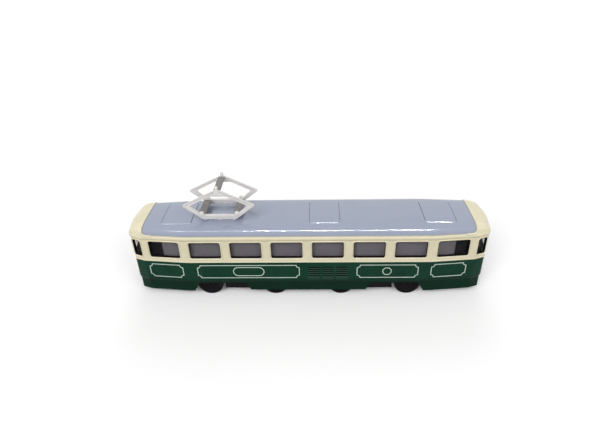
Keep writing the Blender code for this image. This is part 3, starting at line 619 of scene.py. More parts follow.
def window_outline(width, grow):
    """Outline of a window about its middle, grown by a margin, with its corners rounded."""
    half = width / 2 + grow
    low, high = WINDOW_SILL_Z - grow, WINDOW_TOP_Z + grow
    corners = rectangle(-half, low, half, high, WINDOW_RADIUS + grow)
    return rounded_path(corners, WINDOW_ARC_STEPS)


def window_loop(place, grow, out):
    """A window's outline on the wall, with extra points along its sill and header."""
    s, width = place
    outline = split_edges(
        window_outline(width, grow), lambda u, v: SILL_PIECES if abs(u) > width / 3 else 1,
    )
    return [on_wall(s + u, z, out) for u, z in outline]


def window_cutters():
    maker = bmesh.new()
    for place in window_places():
        loft_into(maker, [window_loop(place, 0.0, out) for out in (-2.5 * SHELL_WALL, OVERCUT)])
    return maker


BEAD_PROFILE = (  # millimetres past the window's edge and out from the wall
    (0.00, -0.50), (0.00, -0.16), (0.10, 0.03), (0.25, 0.20), (0.40, 0.32),
    (0.54, 0.34), (0.66, 0.26), (0.74, 0.10), (0.78, -0.12), (0.78, -0.50),
)


def make_window_beads():
    """Raised cream bead round every window."""
    maker = bmesh.new()
    for place in window_places():
        loops = [window_loop(place, u * MM, BAND_OUT + v * MM) for u, v in BEAD_PROFILE]
        loft_into(maker, loops, closed=True)
    shade(add_piece("window_beads", maker, "cream"), 60)


EDGE_THICKNESS = 0.16 * MM
# lift of the dark sill: painted shade at the foot of each window
EDGE_SILL_LIFT = 0.35 * MM


def lifted(loop, lift):
    """A window's loop with its sill raised by lift and its header where it was."""
    return [(x, y, z + lift * (WINDOW_TOP_Z - z) / WINDOW_HEIGHT) for x, y, z in loop]


def make_window_edges():
    """Dark edge of the glazing moulding that lines each window opening; its thicker sill is
    painted shade at the foot of each window.
    """
    maker = bmesh.new()
    front = BAND_OUT - 0.02 * MM
    back = -SHELL_WALL - FIT_GAP + 0.02 * MM
    rows = (  # past the window's edge, out from the wall, lift of the sill
        (-0.01 * MM, front, 0.0), (-EDGE_THICKNESS, front, 0.0),
        (-EDGE_THICKNESS, back, EDGE_SILL_LIFT), (-0.01 * MM, back, 0.0),
    )
    for place in window_places():
        loops = [lifted(window_loop(place, grow, out), lift) for grow, out, lift in rows]
        loft_into(maker, loops, closed=True)
    shade(add_piece("window_edges", maker, "gasket"))


# ==== painted shell ====

BAND_LOW_Z = BELT_Z - 0.2 * MM
BELT_BEAD = (  # millimetres out from the band and above its foot
    (-0.45, 0), (-0.05, 0.03), (0.14, 0.16), (0.18, 0.36), (0.14, 0.56), (0.02, 0.74), (0, 0.95),
)
GUTTER_LOW_Z = 35.6 * MM
GUTTER_BULGE = 0.72 * MM
GUTTER_SWEEP = 75  # degrees of arc above and below the gutter's middle
OPENING_TOP_Z = 8.6 * MM  # openings of the skirt at the outer wheels
OPENING_SLOPE = 2.6 * MM
OPENING_INNER_X = 33.4 * MM
OPENING_OUTER_X = 58.6 * MM


def band_profile():
    """Outer face of the cream band from the belt to the eaves: out, z."""
    middle = (GUTTER_LOW_Z + EAVES_Z) / 2
    half = (EAVES_Z - GUTTER_LOW_Z) / 2
    rows = [(BAND_OUT + out * MM, BAND_LOW_Z + rise * MM) for out, rise in BELT_BEAD]
    rows += [(BAND_OUT, GUTTER_LOW_Z - 0.12 * MM), (BAND_OUT + 0.01 * MM, GUTTER_LOW_Z)]
    end = radians(GUTTER_SWEEP)
    for degrees in range(-GUTTER_SWEEP, GUTTER_SWEEP + 1, 15):
        angle = radians(degrees)
        bulge = GUTTER_BULGE * (cos(angle) - cos(end))
        z = middle + half * sin(angle) / sin(end) * 0.94
        rows.append((BAND_OUT + 0.03 * MM + bulge, z))
    return rows


def make_upper_body():
    """Cream band with its gutter, and the domed forehead at each end."""
    base = [level(out, z) for out, z in band_profile()]
    body = add_piece(
        "painted_upper_body", loft(dome_loops(0.0, 0.0, base)), "cream",
        ("upper_body",),
    )
    inside = dome_block(-SHELL_WALL + BAND_OUT, SHELL_WALL, BELT_Z - OVERCUT)
    cut(body, inside, roof_gate(FIT_GAP), window_cutters())
    shade(body)


def make_lower_body():
    """Green side walls, step and skirt with their openings."""
    wall, skirt = -GREEN_INSET, -SKIRT_INSET
    top = BAND_LOW_Z - 0.12 * MM
    profile = [
        (skirt - 0.15 * MM, END_SKIRT_Z),
        (skirt, END_SKIRT_Z + 0.15 * MM),
        (skirt, STEP_Z - 0.95 * MM),
        (skirt + 0.04 * MM, STEP_Z - 0.75 * MM),
        (wall - 0.08 * MM, STEP_Z + 0.05 * MM),
        (wall, STEP_Z + 0.35 * MM),
        (wall, top - 0.15 * MM),
        (wall - 0.15 * MM, top),
        (wall - SHELL_WALL, top),
        (wall - SHELL_WALL, STEP_Z),
        (skirt - SKIRT_WALL, STEP_Z - SKIRT_INSET + GREEN_INSET),
        (skirt - SKIRT_WALL, END_SKIRT_Z),
    ]
    body = add_piece(
        "painted_lower_body", loft([level(out, z) for out, z in profile], closed=True),
        "green", ("lower_body",),
    )
    slots = slot_blocks(wall - SLOT_DEPTH, wall + OVERCUT, 0.0)
    cut(body, skirt_cutter(), headlamp_cutter(), slots)
    shade(body, 20)


def skirt_cutter():
    """Everything below the skirt's edge, with the openings at the outer wheels."""
    low = END_SKIRT_Z - OVERCUT
    foot = OPENING_SLOPE * (OPENING_TOP_Z - low) / (OPENING_TOP_Z - MIDDLE_SKIRT_Z)
    half = [
        (OPENING_INNER_X - OPENING_SLOPE, MIDDLE_SKIRT_Z, 0.4 * MM),
        (OPENING_INNER_X, OPENING_TOP_Z, 1.0 * MM),
        (OPENING_OUTER_X, OPENING_TOP_Z, 1.0 * MM),
        (OPENING_OUTER_X + foot, low, 0.0),
    ]
    return across_car(rounded_path(half + [(-x, z, r) for x, z, r in reversed(half)], 5))


HEADLAMPS = (
    "headlamp_rear_right", "headlamp_rear_left", "headlamp_front_right", "headlamp_front_left",
)
HEADLAMP_CLEARANCE = 0.1 * MM
HEADLAMP_BORE = 4 * MM  # reach of the bore before and behind the lamp's middle


def headlamp_cutter():
    maker = bmesh.new()
    for name in HEADLAMPS:
        low, high, centre = box_of(name)
        radius = (high.z - low.z) / 2 + HEADLAMP_CLEARANCE
        loft_into(maker, [
            [(x, centre.y + radius * u, centre.z + radius * v) for u, v in unit_circle(48)]
            for x in (centre.x - HEADLAMP_BORE, centre.x + HEADLAMP_BORE)
        ])
    return maker


# ==== lining and louvres ====

LINE_WIDTH = 0.42 * MM
LINE_HEIGHT = 0.05 * MM
LINE_PIECE = 3 * MM  # longest straight piece of a line
PANEL_NOTCH = 1.6 * MM
PANEL_LOW_Z, PANEL_HIGH_Z = 12.4 * MM, 20.45 * MM
PANELS = (  # along the right side: x of the rear and of the front edge
    (-84.3 * MM, -66.2 * MM),
    (-58.3 * MM, -4.4 * MM),
    (25.9 * MM, 57.6 * MM),
    (64.4 * MM, 82.5 * MM),
)
CARTOUCHE_S = -39.3 * MM, -23.1 * MM
CARTOUCHE_HALF_HEIGHT = 2.7 * MM
BADGE_S = 41.5 * MM
BADGE_RADIUS = 2.35 * MM


def ribbon_into(maker, outline):
    """Adds a thin closed line along a closed (s, z) outline, drawn on the green wall."""
    points = [Vector(point) for point in outline]
    count = len(points)
    inner, outer = [], []
    for index in range(count):
        before = (points[index] - points[index - 1]).normalized()
        after = (points[(index + 1) % count] - points[index]).normalized()
        mean = (before + after).normalized()
        side = Vector((-mean.y, mean.x))
        widen = 1 / max(side.dot(Vector((-before.y, before.x))), 0.5)
        inner.append(points[index] + side * LINE_WIDTH / 2 * widen)
        outer.append(points[index] - side * LINE_WIDTH / 2 * widen)
    low, high = -GREEN_INSET - 0.1 * MM, -GREEN_INSET + LINE_HEIGHT
    loops = [
        [on_wall(s, z, height) for s, z in line]
        for line, height in ((inner, low), (inner, high), (outer, high), (outer, low))
    ]
    loft_into(maker, loops, closed=True)


def panel_outline(low_s, high_s):
    """Outline of a panel, whose corners are cut by a quarter circle about each corner."""
    outline = []
    for s, z, start in (
        (low_s, PANEL_LOW_Z, 90), (high_s, PANEL_LOW_Z, 180),
        (high_s, PANEL_HIGH_Z, 270), (low_s, PANEL_HIGH_Z, 0),
    ):
        for step in range(7):
            angle = radians(start - 90 * step / 6)
            outline.append((s + PANEL_NOTCH * cos(angle), z + PANEL_NOTCH * sin(angle)))
    return split_long(outline, LINE_PIECE)


def make_lining():
    """Pale lines round the panels, the blank cartouche and the blank badge, on both sides."""
    maker = bmesh.new()
    outlines = [panel_outline(s_of_x(low), s_of_x(high)) for low, high in PANELS]
    middle = (PANEL_LOW_Z + PANEL_HIGH_Z) / 2
    low, high = middle - CARTOUCHE_HALF_HEIGHT, middle + CARTOUCHE_HALF_HEIGHT
    cartouche = rectangle(CARTOUCHE_S[0], low, CARTOUCHE_S[1], high, CARTOUCHE_HALF_HEIGHT)
    outlines.append(split_long(rounded_path(cartouche, 8), LINE_PIECE))
    outlines.append([
        (BADGE_S + BADGE_RADIUS * cos(angle), middle + BADGE_RADIUS * sin(angle))
        for angle in (radians(22.5 + 45 * k) for k in range(8))
    ])
    for outline in outlines:
        ribbon_into(maker, outline)
        ribbon_into(maker, [(WALL_LENGTH / 2 - s, z) for s, z in outline])
    shade(add_piece("lining", maker, "lining"))


LOUVRE_X = 10.7 * MM
LOUVRE_COLUMNS = 3
LOUVRE_ROWS = 5
LOUVRE_LENGTH = 6.3 * MM
LOUVRE_COLUMN_PITCH = 7.3 * MM
LOUVRE_ROW_PITCH = 1.35 * MM
LOUVRE_TOP_Z = 18.8 * MM
LOUVRE_RAISE = 0.4 * MM
LOUVRE_BLADE = 0.78 * MM
LOUVRE_LAST_BLADE = 2.1 * MM
LOUVRE_LIP = 0.3 * MM  # width and height of the slope at a lip
SLOT_DROP = 0.3 * MM  # foot of a slot, below the lip
SLOT_HEIGHT = 0.87 * MM
SLOT_DEPTH = 1.1 * MM
SLOT_SHADOW = 0.25 * MM  # depth from which dark blocks of painted shade fill the slots


def louvre_places():
    """Middle along the wall, lip height and blade height of every louvre, on both sides."""
    for column in range(LOUVRE_COLUMNS):
        s = LOUVRE_X + (column - (LOUVRE_COLUMNS - 1) / 2) * LOUVRE_COLUMN_PITCH
        for row in range(LOUVRE_ROWS):
            blade = LOUVRE_LAST_BLADE if row == LOUVRE_ROWS - 1 else LOUVRE_BLADE
            for middle in (s, WALL_LENGTH / 2 - s):
                yield middle, LOUVRE_TOP_Z - row * LOUVRE_ROW_PITCH, blade


def slot_blocks(inner, outer, shrink):
    """Block in every slot behind the lips, between two distances from the wall's plan."""
    maker = bmesh.new()
    half = LOUVRE_LENGTH / 2 - 0.15 * MM - shrink
    for middle, lip, _ in louvre_places():
        low = lip - SLOT_DROP + shrink
        high = lip - SLOT_DROP + SLOT_HEIGHT - shrink
        profile = (inner, low), (outer, low), (outer, high), (inner, high)
        loft_into(maker, [
            [on_wall(middle + u, z, out) for out, z in profile] for u in (-half, half)
        ])
    return maker


def make_louvres():
    """Blades that stand out from the wall, each with a slot above its lip that holds a dark block
    of painted shade.
    """
    maker = bmesh.new()
    wall = -GREEN_INSET
    outer = wall + LOUVRE_RAISE
    half = LOUVRE_LENGTH / 2
    for middle, lip, blade in louvre_places():
        profile = (
            (outer - LOUVRE_LIP, lip), (outer - 0.02 * MM, lip - LOUVRE_LIP),
            (outer, lip - LOUVRE_LIP - 0.04 * MM), (outer - 0.02 * MM, lip - blade + 0.22 * MM),
            (wall - 0.02 * MM, lip - blade), (wall - 0.3 * MM, lip - blade + 0.1 * MM),
            (wall - 0.3 * MM, lip - 0.5 * MM), (wall + 0.05 * MM, lip - 0.5 * MM),
        )
        ends = (-half, 0.3), (-half + 0.3 * MM, 1), (half - 0.3 * MM, 1), (half, 0.3)
        loft_into(maker, [
            [on_wall(middle + u, z, wall + (out - wall) * keep) for out, z in profile]
            for u, keep in ends
        ])
    shade(add_piece("louvre_blades", maker, "louvre_green"), 25)
    # Dark blocks of painted shade deep in the slots.
    dark = slot_blocks(wall - SLOT_DEPTH + 0.02 * MM, wall - SLOT_SHADOW, 0.01 * MM)
    add_piece("louvre_shadows", dark, "gasket")


# ==== roof ====

HATCH_X = (-67.8 * MM, 9.0 * MM, 67.8 * MM)
HATCH_HALF_LENGTH = 7.8 * MM
HATCH_HALF_WIDTH = 11.2 * MM
HATCH_RAISE = 0.25 * MM
HATCH_CORNER_RADIUS = 1.5 * MM
HATCH_CHAMFER = 0.42 * MM  # soft edge along the car; the edges across it are steeper
HATCH_TILTS = (43, 40, 37, 35)  # degrees from level, from the foot of that edge up
HATCH_GROOVE = 0.22 * MM  # fine groove beside the edges across the car
HATCH_GROOVE_DEPTH = 0.35 * MM
ARCH_RIM_RADIUS = 0.55 * MM
ARCH_RIM_SUNK = 0.14 * MM  # middle of the rim, below the domed surface
ARCH_BEND = 2.2 * MM  # radius at the foot of the arch
ARCH_SIDE_REACH = 3.0 * MM  # run of the rim along the gutter
ARCH_STEPS = 72


ROOF_TREE = dome_tree(-ROOF_EDGE_INSET, ROOF_DROP)


def roof_z(x, y):
    """Height of the grey roof over a place on the plan."""
    return ROOF_TREE.ray_cast(Vector((x, y, CROWN_Z + OVERCUT)), Vector((0, 0, -1)))[0].z


def hatch_rings():
    """How far each ring of a hatch draws in and its height over the roof, from the foot up."""
    run = HATCH_CHAMFER / len(HATCH_TILTS)
    shrink = HATCH_CHAMFER
    z = roof_z(0, HATCH_HALF_WIDTH - shrink) + HATCH_RAISE
    rings = [(shrink, HATCH_RAISE)]
    for tilt in reversed(HATCH_TILTS):
        shrink -= run
        z -= run * tan(radians(tilt))
        rings.insert(0, (shrink, z - roof_z(0, HATCH_HALF_WIDTH - shrink)))
    rings.insert(0, (0.0, -0.2 * MM))
    shares = 0.2, 0.4, 0.6, 0.8, 0.95
    return rings + [(share * HATCH_HALF_LENGTH, HATCH_RAISE) for share in shares]


def hatch_into(maker, x):
    """Raised plate with rounded corners and soft edges that follows the roof."""
    loops = []
    for shrink, height in hatch_rings():
        edge = shrink <= HATCH_CHAMFER
        half_x = HATCH_HALF_LENGTH - shrink * (0.3 if edge else 1)
        half_y = HATCH_HALF_WIDTH
        half_y -= shrink if edge else shrink * HATCH_HALF_WIDTH / HATCH_HALF_LENGTH
        radius = min(HATCH_CORNER_RADIUS, 0.8 * half_x)
        outline = split_edges(
            rounded_path(rectangle(-half_x, -half_y, half_x, half_y, radius), 5),
            lambda u, v: 8 if hypot(u, v) > 0.3 * half_x else 1,
        )
        loops.append([(x + u, v, roof_z(x + u, v) + height) for u, v in outline])
    loft_into(maker, loops)


def hatch_grooves():
    """Cutter for the fine grooves beside the hatches' edges across the car."""
    maker = bmesh.new()
    half = HATCH_HALF_WIDTH - 1.2 * MM
    for x in HATCH_X:
        for sign in (1, -1):
            near = x + sign * (HATCH_HALF_LENGTH - 0.05 * MM)
            far = near + sign * (HATCH_GROOVE + 0.05 * MM)
            loops = []
            for y in (half * (2 * k / 24 - 1) for k in range(25)):
                low, high = roof_z(near, y) - HATCH_GROOVE_DEPTH, roof_z(near, y) + OVERCUT
                loops.append([(near, y, low), (far, y, low), (far, y, high), (near, y, high)])
            loft_into(maker, loops)
    return maker


def make_roof():
    """Grey roof panel with its three hatches."""
    low = EAVES_Z - OVERCUT
    face = -ROOF_EDGE_INSET
    panel = add_piece(
        "painted_roof_panel", dome_block(face, ROOF_DROP, low), "roof",
        ("roof_panel",),
    )
    inside = dome_block(face - SHELL_WALL, ROOF_DROP + SHELL_WALL, low - OVERCUT)
    booleans(
        panel,
        ("DIFFERENCE", inside),
        ("INTERSECT", roof_gate(0.2 * MM)),
        ("DIFFERENCE", hatch_grooves()),
    )
    shade(panel)
    maker = bmesh.new()
    for x in HATCH_X:
        hatch_into(maker, x)
    shade(add_piece("roof_hatches", maker, "roof"), 18)


def arch_path(dome, x):
    """Points on the dome round the end of the grey panel, from gutter to gutter."""
    seat = EAVES_Z - 0.15 * MM
    sign = 1 if x > 0 else -1

    def side(along, z):
        return dome.ray_cast(Vector((along, 0, z)), Vector((0, -1, 0)))[0]

    points = [side(x - sign * (ARCH_BEND + ARCH_SIDE_REACH * k / 4), seat) for k in (4, 3, 2, 1)]
    for step in range(9):
        angle = pi / 2 * step / 8
        along = x - sign * ARCH_BEND * (1 - sin(angle))
        points.append(side(along, seat + ARCH_BEND * (1 - cos(angle))))
    middle = Vector((x, 0, EAVES_Z - 6 * MM))
    start = atan2(points[-1].z - middle.z, -points[-1].y)
    for step in range(1, ARCH_STEPS + 1):
        angle = start + (pi / 2 - start) * step / ARCH_STEPS
        points.append(dome.ray_cast(middle, Vector((0, -cos(angle), sin(angle))))[0])
    return points + [Vector((point.x, -point.y, point.z)) for point in reversed(points[:-1])]


def make_arch_rims():
    """Rounded cream rim that frames each end of the grey panel."""
    dome = dome_tree(0.0, 0.0)
    maker = bmesh.new()
    for sign in (1, -1):
        points = arch_path(dome, sign * (ROOF_HALF_LENGTH + 0.3 * MM + ARCH_RIM_RADIUS * 0.8))
        middle = Vector((points[0].x, 0, EAVES_Z - 6 * MM))
        loops = []
        for index, here in enumerate(points):
            following = points[min(index + 1, len(points) - 1)]
            along = (following - points[max(index - 1, 0)]).normalized()
            up = Vector((0, here.y - middle.y, here.z - middle.z)).normalized()
            across = along.cross(up).normalized()
            up = across.cross(along).normalized()
            centre = here - up * ARCH_RIM_SUNK
            loops.append([
                centre + (across * u + up * v) * ARCH_RIM_RADIUS for u, v in unit_circle(16)
            ])
        loft_into(maker, loops)
    shade(add_piece("roof_arch_rims", maker, "cream"), 60)


# ==== glazing and inside ====

def make_glazing():
    """Clear strip behind all the windows."""
    outer = -SHELL_WALL - FIT_GAP
    inner = outer - GLASS_THICKNESS
    low = WINDOW_SILL_Z - GLASS_MARGIN
    high = WINDOW_TOP_Z + GLASS_MARGIN
    corners = (outer, low), (outer, high), (inner, high), (inner, low)
    maker = loft([level(out, z) for out, z in corners], closed=True)
    shade(add_piece("glazing_strip", maker, "glass", ("window_glazing",)))


WHEELSETS = 1, 2, 3, 4
SIDES = ("right", -1), ("left", 1)


def dress_cad_nodes():
    """Better materials on the CAD nodes that are shown as they are."""
    finishes = {"saloon_liner": "liner", "chassis": "black"}
    finishes.update({f"axle_{number}": "steel" for number in WHEELSETS})
    for name, finish in finishes.items():
        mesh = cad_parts[name].data
        mesh.materials.clear()
        mesh.materials.append(MATERIALS[finish])


# ==== headlamps ====

def make_headlamps():
    """Domed lenses with a moulded rim."""
    rim = 0.5 * MM
    dome = 0.4 * MM
    for name in HEADLAMPS:
        low, high, centre = box_of(name)
        radius, depth = (high.z - low.z) / 2, high.x - low.x
        lens = radius - rim
        profile = [(lens * k / 8, dome * (k / 8) ** 2) for k in range(9)]
        profile += [
            (lens + 0.04 * MM, dome + 0.12 * MM), (lens + 0.12 * MM, dome + 0.12 * MM),
            (lens + 0.16 * MM, 0.2 * MM), (lens + 0.24 * MM, 0.12 * MM),
            (radius - 0.1 * MM, 0.12 * MM), (radius, 0.24 * MM), (radius, depth), (0, depth),
        ]
        sign = 1 if centre.x > 0 else -1
        face = Vector((high.x if sign > 0 else low.x, centre.y, centre.z))
        place = Matrix.Translation(face) @ Matrix.Rotation(sign * pi / 2, 4, "Z")
        lamp = turned(profile, 48, place)
        shade(add_piece("clear_" + name, lamp, "lamp", (name,)))


# ==== wheels ====

WHEEL_HUB = (  # millimetres from the axle and in from the outer face
    (0, 0.25), (0.9, 0.25), (1.0, 0.05), (1.9, 0.0), (2.1, 0.15), (2.2, 0.6), (3.1, 0.7),
    (3.3, 0.5), (3.6, 0.5), (3.8, 0.7),
)
WHEEL_RIM = (  # millimetres in from the tread's radius and from the outer face
    (2.0, 0.7), (1.7, 0.5), (1.55, 0.08), (1.4, 0.0), (0.4, 0.0), (0.12, 0.1), (0, 0.35),
)


def wheel_profile(radius, width):
    """(radius, y) across a wheel from its outer face at y = 0 to its inner face."""
    face = [(u * MM, v * MM) for u, v in WHEEL_HUB]
    face += [(radius - u * MM, v * MM) for u, v in WHEEL_RIM]
    return face + [
        (radius, width - 0.35 * MM), (radius - 0.35 * MM, width), (1.3 * MM, width),
        (1.3 * MM, width - 0.8 * MM), (0, width - 0.8 * MM),
    ]


def make_wheels():
    """Moulded wheels, each with a hub cap, a dish with a ring, and a rim."""
    for number in WHEELSETS:
        for side_name, sign in SIDES:
            node_name = f"wheel_{number}_{side_name}"
            low, high, centre = box_of(node_name)
            face = Vector((centre.x, low.y if sign < 0 else high.y, centre.z))
            turn = Matrix.Rotation(0 if sign < 0 else pi, 4, "Z")
            profile = wheel_profile((high.z - low.z) / 2, high.y - low.y)
            maker = turned(profile, 64, Matrix.Translation(face) @ turn)
            shade(add_piece(
                f"moulded_{node_name}", maker, "black", (node_name,),
                f"wheelset_{number}",
            ))


# ==== pantograph ====

PANTO_LOW, PANTO_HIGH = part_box("pantograph_right_frame")
PANTO_X = (PANTO_LOW.x + PANTO_HIGH.x) / 2
PANTO_FOOT = 0.3 * MM
PANTO_Z = PANTO_LOW.z + PANTO_FOOT
PANTO_OUTER = ((8.65, 0.0, 0.6), (18.75, 7.9, 0.5), (0.75, 16.59, 0.4), (0.75, 18.5, 0.5))
PANTO_INNER = ((9.2, 2.55, 0.6), (14.9, 7.8, 0.8), (4.35, 13.15, 1.5))
PANTO_FEET = (-7.3 * MM, 0.0, 7.3 * MM)
PANTO_BOSSES = ((-9.1, 3.1), (9.1, 3.1))
BOSS_RADIUS = 1.25 * MM
BOSS_PROUD = 0.3 * MM  # how far a boss stands out of the frame's outer face
BOSS_SOFT_EDGE = 0.25 * MM
PANTO_SOFT_EDGE = 0.13 * MM
GROOVE_DROP = 0.18 * MM  # fine groove below the top edge of the upper arms
GROOVE_WIDTH = 0.42 * MM
GROOVE_DEPTH = 0.7 * MM


def panto_outline(half, grow):
    """Outline in x and z from its front half, given in millimetres from the foot."""
    corners = [(u * MM, v * MM, r * MM) for u, v, r in half]
    full = corners + [(-u, v, r) for u, v, r in reversed(corners)]
    return [(PANTO_X + u, PANTO_Z + v) for u, v in rounded_path(moved_out(full, grow), 6)]


def soft_prism(half, near, far, edge):
    """Prism across the car whose outline draws in by edge at both faces, or flares out."""
    soft = abs(edge)
    rows = ((near, -edge), (near + 0.3 * soft, -0.45 * edge), (near + soft, 0.0))
    rows += tuple((near + far - y, grow) for y, grow in reversed(rows))
    return loft([[(x, y, z) for x, z in panto_outline(half, grow)] for y, grow in rows])


def groove_cutter(near, far):
    """Fine grooves in both faces, along the upper arms."""
    maker = bmesh.new()
    (elbow_u, elbow_v, _), (apex_u, apex_v, _) = PANTO_OUTER[1:3]
    slope = (apex_v - elbow_v) / (elbow_u - apex_u)
    for sign in (1, -1):
        corners = []
        for u, drop in ((1.2, 0), (elbow_u - 1.6, 0), (elbow_u - 1.6, 1), (1.2, 1)):
            v = (elbow_v + (elbow_u - u) * slope) * MM - (GROOVE_DROP + drop * GROOVE_WIDTH)
            corners.append((PANTO_X + sign * u * MM, PANTO_Z + v))
        for span in ((near - OVERCUT, near + GROOVE_DEPTH), (far - GROOVE_DEPTH, far + OVERCUT)):
            loft_into(maker, [[(x, y, z) for x, z in corners] for y in span])
    return maker


def panto_feet(near, far):
    maker = bmesh.new()
    for foot in PANTO_FEET:
        rear, front = foot - 0.55 * MM, foot + 0.55 * MM
        corners = [
            (rear, 1.2 * MM, 0), (rear, -PANTO_FOOT, 0.4 * MM),
            (front, -PANTO_FOOT, 0.4 * MM), (front, 1.2 * MM, 0),
        ]
        outline = [(PANTO_X + u, PANTO_Z + v) for u, v in rounded_path(corners, 5)]
        loft_into(maker, [[(x, y, z) for x, z in outline] for y in (near, far)])
    return maker


def panto_bosses(near, far):
    """Round bosses through the frame, with soft edges at both ends."""
    maker = bmesh.new()
    edge = (BOSS_SOFT_EDGE, 0.0), (0.08 * MM, 0.08 * MM), (0.0, BOSS_SOFT_EDGE)
    rows = [(near + run, BOSS_RADIUS - drop) for drop, run in edge]
    rows += [(far - run, BOSS_RADIUS - drop) for drop, run in reversed(edge)]
    for u, v in PANTO_BOSSES:
        x, z = PANTO_X + u * MM, PANTO_Z + v * MM
        loft_into(maker, [
            [(x + radius * c, y, z + radius * s) for c, s in unit_circle(32)]
            for y, radius in rows
        ])
    return maker


def make_panto_frame(side_name, sign):
    """One side frame of the pantograph, with its bosses on the outer face."""
    node_name = f"pantograph_{side_name}_frame"
    low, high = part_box(node_name)
    inset = 0.1 * MM
    if sign < 0:
        near, far = low.y + BOSS_PROUD, high.y
        bosses = low.y, far - inset
    else:
        near, far = low.y, high.y - BOSS_PROUD
        bosses = near + inset, high.y
    piece = add_piece(
        f"silver_pantograph_{side_name}", soft_prism(PANTO_OUTER, near, far, PANTO_SOFT_EDGE),
        "silver", (node_name,),
    )
    opening = soft_prism(PANTO_INNER, near - 0.05 * MM, far + 0.05 * MM, -PANTO_SOFT_EDGE)
    booleans(
        piece,
        ("DIFFERENCE", opening),
        ("DIFFERENCE", groove_cutter(near, far)),
        ("UNION", panto_feet(near + inset, far - inset)),
        ("UNION", panto_bosses(*bosses)),
    )
    shade(piece, 35)


def make_straps():
    """Contact bar and base straps, with soft edges."""
    for part in ("contact_bar", "base_strap_rear", "base_strap_front"):
        name = f"pantograph_{part}"
        box = box_between(*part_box(name))
        strap = add_piece("grey_" + name, box, "strap", (name,))
        bevel_edges(strap, 0.25 * MM)
        shade(strap, 40)


# ==== stage ====

CAMERA_PLACE = Vector((5.671, -219.144, 169.960)) * MM
CAMERA_PITCH = radians(31.478)  # looks down by
CAMERA_YAW = radians(2.544)  # turned towards the rear of the car
CAMERA_ROLL = radians(-1.7355)
CAMERA_LENS = 28.73  # on a 36 mm wide picture

FLOOR_REACH = 3.0  # metres each way
FLOOR_Z = -0.02 * MM
FLOOR_BOUNCE = 0.22  # tone of the floor for the light that it throws back
FLOOR_SHOWN = 0.95  # tone of the floor that is seen
FLOOR_GLOW = 0.06
SKY_LEVEL = 0.46
STRIP_Y, STRIP_Z, STRIP_AIM_Z = -0.26, 0.75, 0.04
STRIPS = (  # name, x, size along the car, size across it, power
    ("strip", 0.085, 0.47, 0.018, 5.2),
    ("soft_strip", -0.24, 0.18, 0.04, 0.3),
    ("spot", -0.36, 0.05, 0.022, 0.6),
)
SUN_SPREAD = 35
SUNS = (  # name, azimuth from the camera side to the front, elevation, power
    ("key", -30, 36, 0.55),
    ("fill", 40, 36, 0.26),
    ("back", 180, 35, 0.20),
)


def make_camera():
    data = bpy.data.cameras.new("camera")
    data.lens = CAMERA_LENS
    data.sensor_width = 36.0
    data.clip_start = 0.01
    camera = bpy.data.objects.new("camera", data)
    camera.matrix_world = (
        Matrix.Translation(CAMERA_PLACE) @ Matrix.Rotation(CAMERA_YAW, 4, "Z")
        @ Matrix.Rotation(pi / 2 - CAMERA_PITCH, 4, "X") @ Matrix.Rotation(CAMERA_ROLL, 4, "Z")
    )
    bpy.context.scene.collection.objects.link(camera)
    bpy.context.scene.camera = camera


def by_ray(tree, lighting, seen):
    """A node whose result is seen for rays that show the background, which come from the
    camera, a reflection or through glass, and lighting for all other rays."""
    path = node(tree, "LightPath")
    total = path.outputs["Is Camera Ray"]
    for name in ("Is Glossy Ray", "Is Transmission Ray"):
        add = node(tree, "Math")
        add.operation = "MAXIMUM"
        tree.links.new(total, add.inputs[0])
        join(path, name, add, 1)
        total = add.outputs[0]
    span = node(tree, "MapRange", To_Min=lighting, To_Max=seen)
    tree.links.new(total, span.inputs["Value"])
    return span


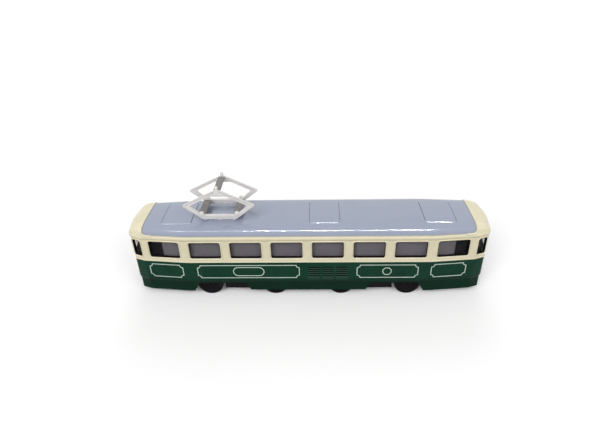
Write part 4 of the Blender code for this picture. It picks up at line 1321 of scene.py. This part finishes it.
def make_floor():
    """White floor that keeps its shadow; it is greyer for the light that it throws back."""
    maker = bmesh.new()
    maker.faces.new([
        maker.verts.new((u * FLOOR_REACH, v * FLOOR_REACH, FLOOR_Z))
        for u, v in ((-1, -1), (1, -1), (1, 1), (-1, 1))
    ])
    floor = new_object("floor", maker)
    made, tree, shader = new_material(
        "floor_white", Roughness=0.9, Specular_IOR_Level=0.0, Emission_Color=(1, 1, 1, 1),
    )
    join(by_ray(tree, FLOOR_BOUNCE, FLOOR_SHOWN), "Result", shader, "Base Color")
    join(by_ray(tree, 0.0, FLOOR_GLOW), "Result", shader, "Emission Strength")
    floor.data.materials.append(made)


def aimed(name, data, place, target):
    light = bpy.data.objects.new(name, data)
    light.location = place
    way = Vector(target) - Vector(place)
    light.rotation_euler = way.to_track_quat("-Z", "Y").to_euler()
    bpy.context.scene.collection.objects.link(light)
    return light


def strip_light(name, x, size_x, size_y, power):
    """A lamp on the camera's side that shows only as a highlight."""
    data = bpy.data.lights.new(name, "AREA")
    data.shape = "RECTANGLE"
    data.size = size_x
    data.size_y = size_y
    data.energy = power
    aimed(name, data, (x, STRIP_Y, STRIP_Z), (x, 0, STRIP_AIM_Z)).visible_diffuse = False


def sun_light(name, azimuth, elevation, power):
    """A soft sun without a highlight, from angles in degrees."""
    data = bpy.data.lights.new(name, "SUN")
    data.angle = radians(SUN_SPREAD)
    data.energy = power * pi
    turn, rise = radians(azimuth), radians(elevation)
    way = (sin(turn) * cos(rise), -cos(turn) * cos(rise), sin(rise))
    aimed(name, data, way, (0, 0, 0)).visible_glossy = False


def make_lights():
    """Even daylight from a white sky, soft suns, and narrow strips for the highlights."""
    world = bpy.data.worlds.new("world")
    world.use_nodes = True
    tree = world.node_tree
    background = tree.nodes["Background"]
    background.inputs["Color"].default_value = (1, 1, 1, 1)
    join(by_ray(tree, SKY_LEVEL, 1.0), "Result", background, "Strength")
    bpy.context.scene.world = world
    for sun in SUNS:
        sun_light(*sun)
    for strip in STRIPS:
        strip_light(*strip)


def main():
    make_upper_body()
    make_lower_body()
    make_window_beads()
    make_window_edges()
    make_lining()
    make_louvres()
    make_roof()
    make_arch_rims()
    make_glazing()
    make_headlamps()
    make_wheels()
    for side_name, sign in SIDES:
        make_panto_frame(side_name, sign)
    make_straps()
    dress_cad_nodes()
    make_camera()
    make_floor()
    make_lights()
    bpy.context.scene.view_settings.view_transform = "Standard"


main()
